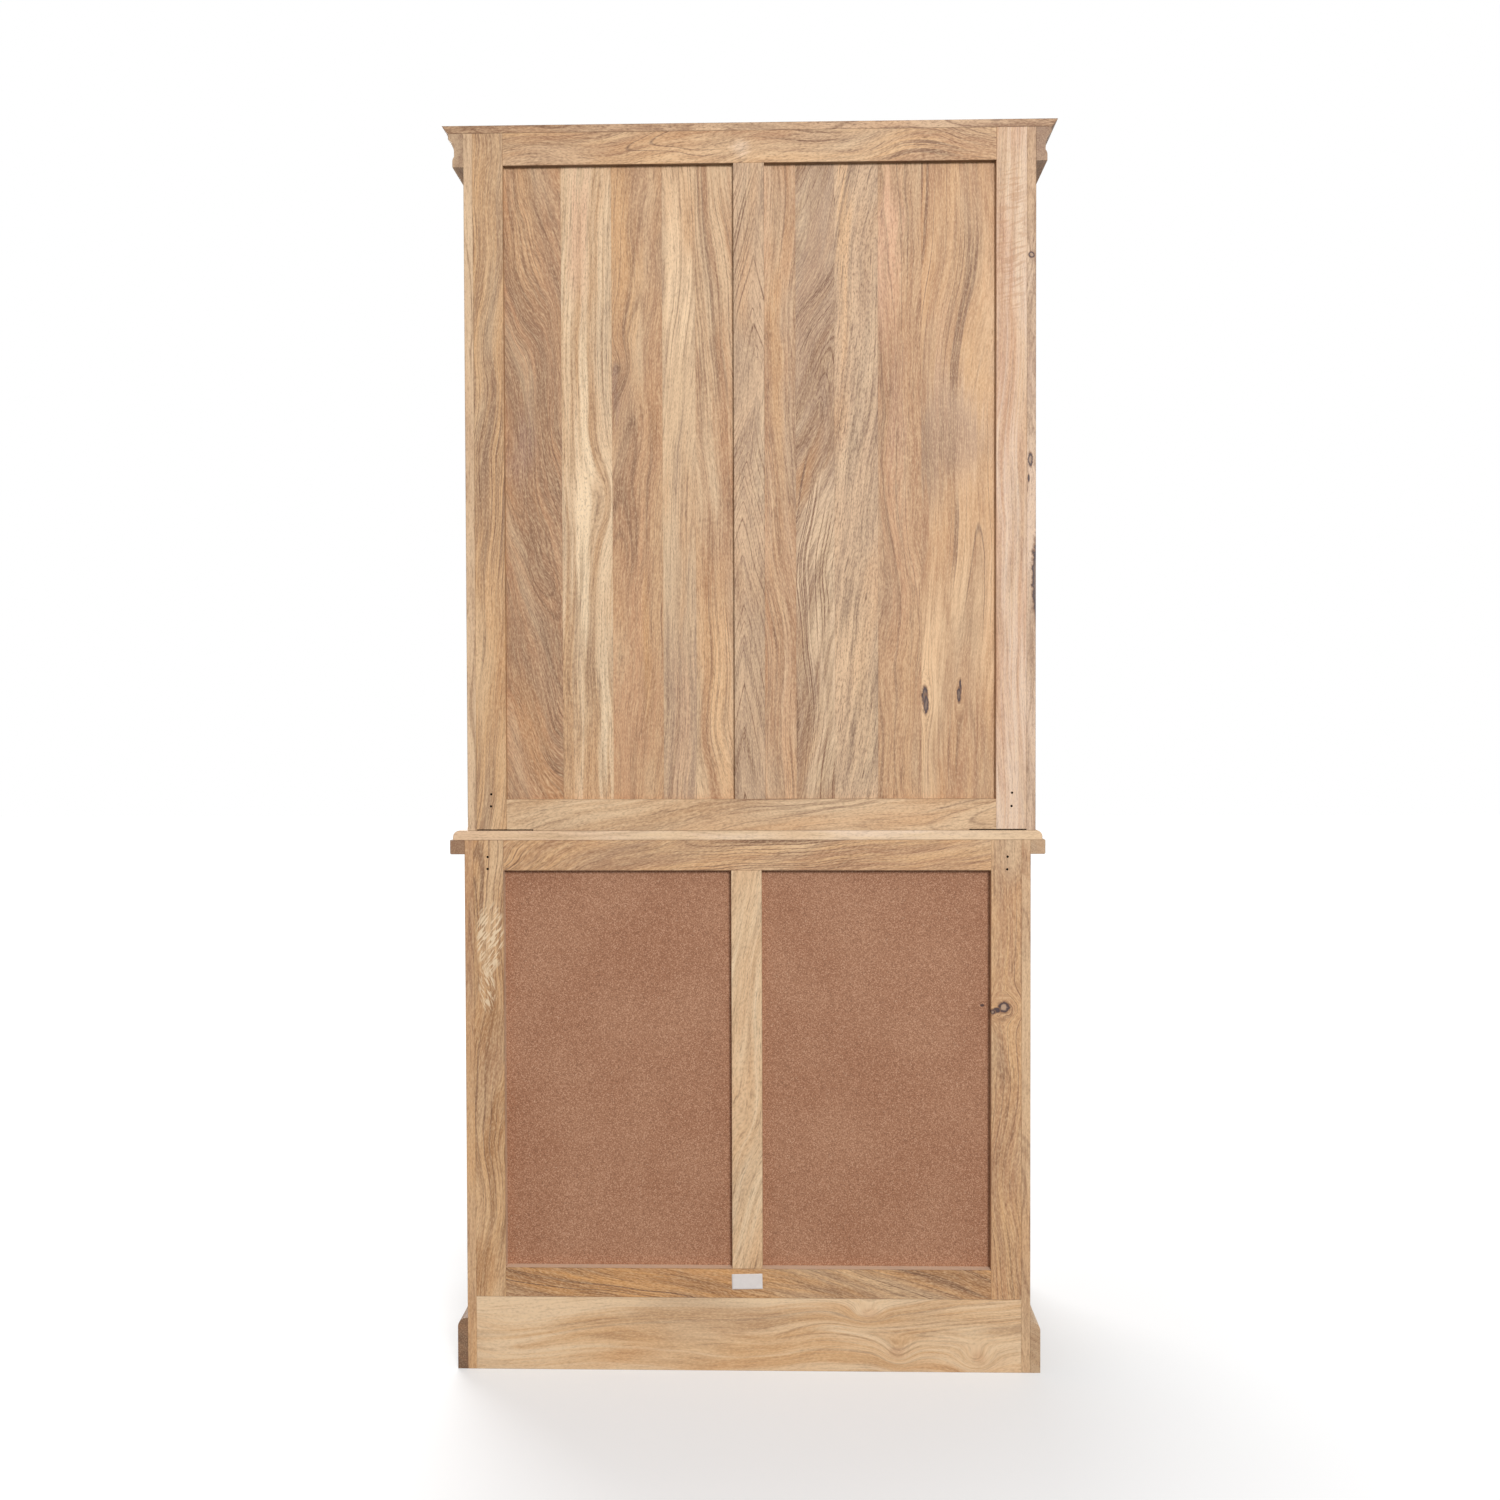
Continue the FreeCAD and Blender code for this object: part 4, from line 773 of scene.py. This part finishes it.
fibreboard = fibreboard_paint()
for node in sheets:
    recoat(node, "_sheet", fibreboard)
print("fibreboard panels:", len(sheets))

# %% [markdown]
# ## Glass, brass, steel and the catches' plastic
#
# Float glass is clear with a faint green edge and a little wipe on its surface. Most of its light goes
# straight on, through an alpha below one, so that the shelves behind it are lit as they would be. The
# knobs and hinges are brass that has been handled: bright where it is touched and browner in the dull
# patches. Each finish is mostly one number set on the shader, with a noise that breaks up its gloss.

# %% Other materials
def glass_paint():
    """Clear glass whose gloss is broken by faint wiping marks."""
    paint = Paint("float_glass")
    x, y, z = paint.split(paint.place())
    wipe = paint.noise((x * 9.0 + z * 4.0, y, z * 2.0), detail=3.0)
    tone = paint.mix(wipe * 0.4, colour(250, 253, 251), colour(240, 248, 244))
    return paint.set(Base_Color=tone, Roughness=0.01 + wipe.rise(0.45, 0.8) * 0.05,
                     Transmission_Weight=1.0, IOR=1.5, Alpha=0.3)


def metal_paint(name, bright, dull, rough):
    """Handled metal: a bright and a dull tone in patches, with fine brushed scratches."""
    paint = Paint(name)
    x, y, z = paint.split(paint.place())
    patch = paint.noise((x, y, z), 130.0, 3.0, 0.6)
    brushed = paint.noise((x * 500.0, y * 500.0, z * 4000.0), detail=1.0)
    share = (patch * 0.8 + brushed * 0.2).rise(0.38, 0.62)
    return paint.set(Base_Color=paint.mix(share, bright, dull), Roughness=rough + share * 0.14,
                     Normal=paint.bump(brushed, 0.15, 0.05 * MM), Metallic=1.0)


def plastic_paint():
    """Moulded plastic with a fine spark-eroded skin."""
    paint = Paint("brown_moulded_plastic")
    place = paint.place()
    skin = paint.noise(place, 1600.0, 1.0)
    worn = paint.noise(place, 60.0)
    tone = paint.mix(worn.rise(0.35, 0.7), colour(92, 68, 52), colour(112, 86, 68))
    return paint.set(Base_Color=tone, Roughness=0.42 + skin * 0.16,
                     Normal=paint.bump(skin, 0.25, 0.1 * MM))


glass = glass_paint()
turned_brass = metal_paint("turned_brass", colour(214, 178, 112), colour(172, 134, 78), 0.24)
hinge_brass = metal_paint("hinge_brass", colour(200, 164, 104), colour(150, 116, 70), 0.32)
steel = metal_paint("zinc_plated_steel", colour(206, 206, 204), colour(160, 160, 160), 0.3)
plastic = plastic_paint()
for node in home:
    if node.endswith(("_pane", "_leaves", "_pins")):
        for seat in frame["nodes"][node].material_slots:
            seat.material = glass if node.endswith("_pane") else hinge_brass
recoat("door_catches", "_moulded", plastic)
print("materials:", sorted(material.name for material in bpy.data.materials))

# %% [markdown]
# ## Turned pieces
#
# A knob is turned on a lathe: a profile is spun round an axis. The same function makes nail heads and
# screw heads, because they are turned too. The profile's points may be rounded first with a smooth
# curve through them, which leaves the soft shoulders that a turner's scraper leaves.

# %% A lathe
def tube(rings, ends, flip=False):
    """Rings of places with one corner that closes each end: corner places, face sizes and face corners.

    flip turns the faces round, for rings that run the other way.
    """
    count, sides = rings.shape[:2]
    index = np.arange(count * sides).reshape(count, sides)
    beside = np.roll(index, -1, axis=1)
    faces = [np.stack([index[:-1], beside[:-1], beside[1:], index[1:]], axis=2).reshape(-1, 4),
             np.stack([beside[0], index[0], np.full(sides, count * sides)], axis=1),
             np.stack([index[-1], beside[-1], np.full(sides, count * sides + 1)], axis=1)]
    sizes = np.concatenate([np.full(len(part), part.shape[1]) for part in faces])
    corners = np.concatenate([part[:, ::-1 if flip else 1].reshape(-1) for part in faces])
    return np.concatenate([rings.reshape(-1, 3), ends]), sizes, corners


def turned(profile, centre, out, sides):
    """A profile of (radius, height) spun round an axis: corner places, face sizes and face corners.

    A point at angle t lies at centre + out * height + (u * cos t + v * sin t) * radius, where out is a
    level unit vector, and u and v are square to it and to each other. The first and last points of the
    profile lie on the axis and become one corner each.
    """
    out = np.asarray(out, dtype=float)
    u = np.cross(out, (0.0, 0.0, 1.0))
    v = np.cross(out, u)
    angle = np.linspace(0, 2 * np.pi, sides, endpoint=False)
    round_out = np.cos(angle)[:, None] * u + np.sin(angle)[:, None] * v
    rings = centre + profile[1:-1, 1, None, None] * out + profile[1:-1, 0, None, None] * round_out
    return tube(rings, centre + profile[[0, -1], 1, None] * out)


def softened(points, steps=6):
    """Rounds a profile's corners: each is replaced by points of the curve that leans on it.

    Between the middles of the two lines that meet in a corner runs (1-t)^2 a + 2t(1-t) corner + t^2 b.
    """
    points = np.asarray(points, dtype=float)
    middles = (points[:-1] + points[1:]) / 2
    t = np.linspace(0, 1, steps, endpoint=False)[:, None]
    curve = [(1 - t) ** 2 * a + 2 * t * (1 - t) * corner + t ** 2 * b
             for a, corner, b in zip(middles[:-1], points[1:-1], middles[1:])]
    return np.concatenate([points[:1], *curve, middles[-1:], points[-1:]])


KNOB_PROFILE = [(0, 0), (11.4, 0), (11.4, 2.4), (9.5, 2.6), (5.4, 3.2), (5.4, 11), (6.6, 14.5),
                (14.2, 18.6), (15.3, 22), (14.2, 25.6), (8.5, 29.9), (0, 30)]
KNOB_SMOOTH = math.radians(60)
knob_profile = softened(KNOB_PROFILE) * MM
for node in [node for node in home if node.endswith("_knob")]:
    face = low(home[node] + "_frame")[1]
    middle = (low(node) + high(node)) / 2
    knob = turned(knob_profile, (middle[0], face, middle[2]), (0, -1, 0), sides=48)
    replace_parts(build(node + "_turned", knob, home[node], turned_brass, KNOB_SMOOTH), node)
print("knob reaches", round(float(knob_profile[:, 1].max()) / MM, 1), "mm")

# %% [markdown]
# ## Nails and screws
#
# The tenons of the two rails beside the waist are pinned with two small nails each, and each hinge leaf
# is held by three countersunk screws. A nail head is a low dome. A screw head is flat with a bevelled
# rim. Its slot is not cut into the head but painted as shade: the material reads from the heads' own
# attribute how far a point lies from the slot, and darkens it there.

# %% Fastenings
NAIL_PROFILE = np.array([(0, -0.4), (2.1, -0.4), (2.1, 0.02), (1.5, 0.1), (0, 0.12)]) * MM
NAIL_PLACES = [(0.4379, 0.9796), (0.4384, 0.9593), (0.4448, 0.8735), (0.4449, 0.8532),
               (-0.4387, 0.9809), (-0.4378, 0.9586), (-0.4313, 0.8735), (-0.4307, 0.8523)]
nails = [turned(NAIL_PROFILE, (x, back_y, z), (0, 1, 0), sides=16) for x, z in NAIL_PLACES]
dark_iron = metal_paint("dark_iron", colour(40, 32, 27), colour(20, 16, 14), 0.7)
nail_heads = build("nail_heads", joined(nails), "carcass", dark_iron)

SCREW_PROFILE = np.array([(0, -0.5), (2.6, -0.5), (2.9, 0), (2.7, 0.1), (0, 0.1)]) * MM
SCREW_HEIGHTS = (0.16, 0.5, 0.84)
SCREW_DEPTHS = (4.6 * MM, 10.6 * MM, 4.6 * MM)
LEAF_FACE = 0.2 * MM


def screw_paint():
    """A brass screw head with painted shade in a slot across it."""
    paint = Paint("slotted_brass")
    slot = abs(paint.attribute("slot", "Fac")).fall(0.35 * MM, 0.5 * MM)
    worn = paint.noise(paint.place(), 400.0)
    tone = paint.mix(worn, colour(206, 172, 112), colour(158, 124, 76))
    # the slot's dark tone is painted shade, for a groove that the head's mesh does not have
    return paint.set(Base_Color=paint.mix(slot * 0.85, tone, colour(44, 34, 26)), Metallic=1.0,
                     Roughness=0.3 + worn * 0.15)


def box_of(places, corners):
    """The lowest and the highest corner of a solid."""
    return places[corners].min(axis=(0, 1)), places[corners].max(axis=(0, 1))


def door_at(x, z):
    """The door that a place belongs to, by its side of the middle and its unit."""
    unit = "base" if z < low("upper_bottom")[2] else "upper"
    return unit + "_door_" + ("left" if x < 0 else "right")


slotted = screw_paint()
axes = {joint["child"]: joint["pos_m"] for joint in frame["record"]["behaviour"]["joints"]}


def leaf_screws(solid, x_axis, way):
    """Three screws in a leaf on the side way of its axis, and how far their points lie from the slots."""
    lowest, highest = box_of(*solid)
    heads, slots = [], []
    for share, inset in zip(SCREW_HEIGHTS, SCREW_DEPTHS):
        centre = np.array([x_axis + way * LEAF_FACE, highest[1] - inset,
                           lowest[2] + (highest[2] - lowest[2]) * share])
        head = turned(SCREW_PROFILE, centre, (-way, 0, 0), sides=20)
        tilt = chance.uniform(0, np.pi)
        offset = (head[0] - centre)[head[2]]
        heads.append(head)
        slots.append(offset[:, 1] * np.cos(tilt) + offset[:, 2] * np.sin(tilt))
    return heads, slots


screws = {}
for node in [node for node in home if node.endswith(("hinge_leaves", "frame_leaves"))]:
    for solid in solids_of(node):
        middle = sum(box_of(*solid)) / 2
        outward = -1 if middle[0] < 0 else 1
        way = outward if home[node] == "carcass" else -outward
        heads, slots = leaf_screws(solid, axes[door_at(middle[0], middle[2])][0], way)
        held = screws.setdefault(home[node], ([], []))
        held[0].extend(heads)
        held[1].extend(slots)
for body, (heads, slots) in screws.items():
    piece = build(body + "_hinge_screws", joined(heads), body, slotted)
    write(piece.data, "slot", np.concatenate(slots))
print("nails:", len(nails), "screws:", sum(len(heads) for heads, _ in screws.values()))

# %% [markdown]
# ## Strike plates and magnets
#
# Behind each door's top corner a steel plate meets a magnet in the catch. Both are rounded plates: a
# superellipse outline carried from its flat back over a small bevel to its flat front.

# %% Rounded plates
CORNER_POWER = 2 / 7
BEVEL_SHARE = 0.4
BEVEL_MOST = 0.4 * MM


def rounded_plate(centre, half_width, half_height, thick, out, sides=48):
    """A flat plate with rounded corners, its back at centre and its front thick further along out.

    The outline is (a * sgn(cos t) |cos t|^p, b * sgn(sin t) |sin t|^p) with p = CORNER_POWER, drawn in
    by the bevel near the front and closed by one corner in the middle of each side.
    """
    angle = np.linspace(0, 2 * np.pi, sides, endpoint=False)
    ring_x = np.sign(np.cos(angle)) * np.abs(np.cos(angle)) ** CORNER_POWER
    ring_z = np.sign(np.sin(angle)) * np.abs(np.sin(angle)) ** CORNER_POWER
    bevel = min(thick * BEVEL_SHARE, BEVEL_MOST)
    steps = np.array([(0.0, 0.0), (0.0, thick - bevel), (bevel, thick)])
    x = ring_x * (half_width - steps[:, :1])
    z = ring_z * (half_height - steps[:, :1])
    y = np.broadcast_to(steps[:, 1:] * out, x.shape)
    rings = np.stack([x, y, z], axis=2) + centre
    return tube(rings, np.array([(0, 0, 0), (0, thick * out, 0)]) + centre, flip=out > 0)


STRIKE_HALF_WIDTH = 20 * MM
STRIKE_MARGIN = 1 * MM
STRIKE_THICK = 1.2 * MM
MAGNET_HALVES = (16 * MM, 4 * MM)
MAGNET_THICK = 0.3 * MM
MAGNET_INSET = 1.6 * MM
magnets = []
for solid in solids_of("door_catches"):
    lowest, highest = box_of(*solid)
    x, foot = (lowest[0] + highest[0]) / 2, lowest[2]
    door = door_at(x, foot)
    rear, door_top = high(door + "_frame")[1:]
    z = (foot + door_top) / 2
    half_height = (door_top - foot) / 2 - STRIKE_MARGIN
    plate = rounded_plate((x, rear, z), STRIKE_HALF_WIDTH, half_height, STRIKE_THICK, out=1)
    strike = build(door + "_strike_plate", plate, door, steel)
    magnets.append(rounded_plate((x, lowest[1] + MAGNET_INSET, z), *MAGNET_HALVES, MAGNET_THICK, out=-1))
build("catch_magnets", joined(magnets), "carcass", steel)
print("strike plates:", len(magnets))

# %% [markdown]
# ## The paper label
#
# A small blank label is stuck over the joint of the lower rail and the muntin, a little askew. It is a
# sheet worked out on a grid: flat in the middle, with corners that have begun to lift.

# %% A blank label
LABEL_FRONT = 0.12 * MM
LABEL_THICK = 0.1 * MM


def grid(count):
    """u and v from -1 to 1 on a square grid, and the four corners of each of its cells."""
    u, v = np.meshgrid(np.linspace(-1, 1, count), np.linspace(-1, 1, count), indexing="ij")
    index = np.arange(count * count).reshape(count, count)
    cells = np.stack([index[:-1, :-1], index[:-1, 1:], index[1:, 1:], index[1:, :-1]], axis=2)
    return u, v, cells.reshape(-1, 4)


def label_sheet(centre, width, height, turn, lift):
    """A sheet whose front lies at y = centre + LABEL_FRONT + lift * (|u| |v|)^3, u and v from -1 to 1."""
    u, v, cells = grid(17)
    x = u * width / 2
    z = v * height / 2
    y = LABEL_FRONT + lift * np.abs(u * v) ** 3
    front = np.stack([centre[0] + x * math.cos(turn) - z * math.sin(turn), centre[1] + y,
                      centre[2] + x * math.sin(turn) + z * math.cos(turn)], axis=2).reshape(-1, 3)
    return front, np.full(len(cells), 4), cells.reshape(-1)


def paper_paint():
    """Matt paper with a faint cloudiness and fibres."""
    paint = Paint("blank_paper")
    place = paint.place()
    cloud = paint.noise(place, 120.0, 3.0)
    tone = paint.mix(cloud, colour(227, 220, 216), colour(211, 203, 199))
    return paint.set(Base_Color=tone, Roughness=0.7 + cloud * 0.1,
                     Normal=paint.bump(cloud, 0.1, 0.1 * MM))


sheet = label_sheet((0.0076, back_y, 0.1526), 52 * MM, 26 * MM, turn=math.radians(-1.2), lift=0.08 * MM)
label = build("blank_label", sheet, "carcass", paper_paint())
solidify = label.modifiers.new("thickness", "SOLIDIFY")
solidify.thickness = LABEL_THICK
solidify.offset = -1.0
print("label:", [round(value / MM, 1) for value in label.dimensions])

# %% [markdown]
# ## Floor and background
#
# A studio floor runs out into white. Near the cupboard it is pale and keeps the cupboard's soft shadow,
# and further out the camera sees it as plain white. Light Path tells a camera ray from the light that
# the floor sends back, so the white never lights the object: for that light the floor is a plain grey,
# which keeps the undersides of the rails as dark as the picture shows them.

# %% The floor
def seen_directly(graph):
    """1 for rays from the camera, and for those that glass and metal send on."""
    rays = [graph.node("ShaderNodeLightPath", {}, {}, kind) for kind in
            ("Is Camera Ray", "Is Glossy Ray", "Is Transmission Ray")]
    return (rays[0] + rays[1] + rays[2]).math("MINIMUM", 1.0)


NEAR_WHITE = 0.4


def floor_paint():
    """A pale floor that turns to plain white away from the cupboard, with some white near it too."""
    paint = Paint("studio_floor")
    x, y, _ = paint.split(paint.place())
    spot = paint.noise((x, y, 0.0), 3.0)
    seen = seen_directly(paint)
    distance = (x * x + y * y).math("SQRT")
    away = (distance.rise(0.5, 1.5) * (1.0 - NEAR_WHITE) + NEAR_WHITE) * seen
    pale = paint.mix(spot, colour(248, 248, 248), colour(245, 245, 245))
    pale = paint.mix(seen, colour(150, 150, 150), pale)
    return paint.set(Base_Color=paint.mix(away, pale, BLACK), Roughness=0.7 + spot * 0.1,
                     Emission_Color=paint.mix(away, BLACK, WHITE), Emission_Strength=1.0)


FLOOR_HALF = 14.0
u, v, cells = grid(41)
floor_mesh = bpy.data.meshes.new("studio_floor")
floor_mesh.from_pydata(np.stack([v, u, 0 * u], axis=2).reshape(-1, 3) * FLOOR_HALF, [], cells)
floor_mesh.materials.append(floor_paint())
placed("studio_floor", floor_mesh)
print("floor:", len(floor_mesh.polygons), "faces")

# %% [markdown]
# ## Light
#
# The panels of the back carry a narrow shadow along their top and their right edge, so the key light
# stands high and a little to the picture's right. The shadow's soft rim says that it is large. A wide
# lamp fills the front, and the world fills the rest: it is white for the camera and dimmer for all that
# it lights. Together they add up to a plain level, at which a colour shows about as it is written.

# %% Lamps and world
def lamp(name, place, target, size, watts):
    """A square lamp at a place that shines at a target."""
    light = bpy.data.lights.new(name, "AREA")
    light.shape = "SQUARE"
    light.size = size
    light.energy = watts
    made = placed(name, light)
    aim = (Vector(target) - Vector(place)).to_track_quat("-Z", "Y")
    made.matrix_world = Matrix.Translation(place) @ aim.to_matrix().to_4x4()
    return made


lamps = [
    lamp("key_back", (-2.0, 7.8, 3.5), (0.0, 0.2, 1.0), size=1.5, watts=470.0),
    lamp("fill_front", (2.4, -6.5, 4.6), (0.0, -0.2, 1.0), size=6.0, watts=560.0),
]
WORLD_LEVEL = 0.38
world = bpy.data.worlds.new("studio")
bpy.context.scene.world = world
world.use_nodes = True
sky = Graph(world.node_tree)
backdrop = sky.tree.nodes["Background"].inputs
seen = seen_directly(sky)
sky.put(backdrop["Color"], WHITE)
sky.put(backdrop["Strength"], seen + (1.0 - seen) * WORLD_LEVEL)
bpy.context.scene.view_settings.view_transform = "Standard"
print("lamps:", [lamp.name for lamp in lamps])

# %% [markdown]
# ## Camera
#
# The place and the lens come from the picture's own geometry: straight edges of the back, whose sizes
# are known from the frame, were matched to where the picture shows them. The camera stands 2.5 m from
# the back, a little to its right, and looks slightly down.

# %% The camera
SENSOR = 36.0
FOCAL_PIXELS = 1515.0
PICTURE_PIXELS = 1500.0
camera_place = (-0.0641, 2.771, 1.1089)
yaw, pitch, roll = math.radians(1.448), math.radians(1.247), math.radians(-0.17)
turn = Matrix.Rotation(roll, 3, "Z") @ Matrix.Rotation(pitch, 3, "X") @ Matrix.Rotation(yaw, 3, "Y")
right, down, ahead = (Vector((-row[0], -row[2], -row[1])) for row in turn)
lens = bpy.data.cameras.new("camera")
lens.sensor_width = SENSOR
lens.lens = FOCAL_PIXELS / PICTURE_PIXELS * SENSOR
camera = placed("camera", lens)
axes_of_view = Matrix((right, -down, -ahead)).transposed().to_4x4()
camera.matrix_world = Matrix.Translation(camera_place) @ axes_of_view
bpy.context.scene.camera = camera
print("looking along", [round(value, 4) for value in ahead], "lens", round(lens.lens, 2), "mm")
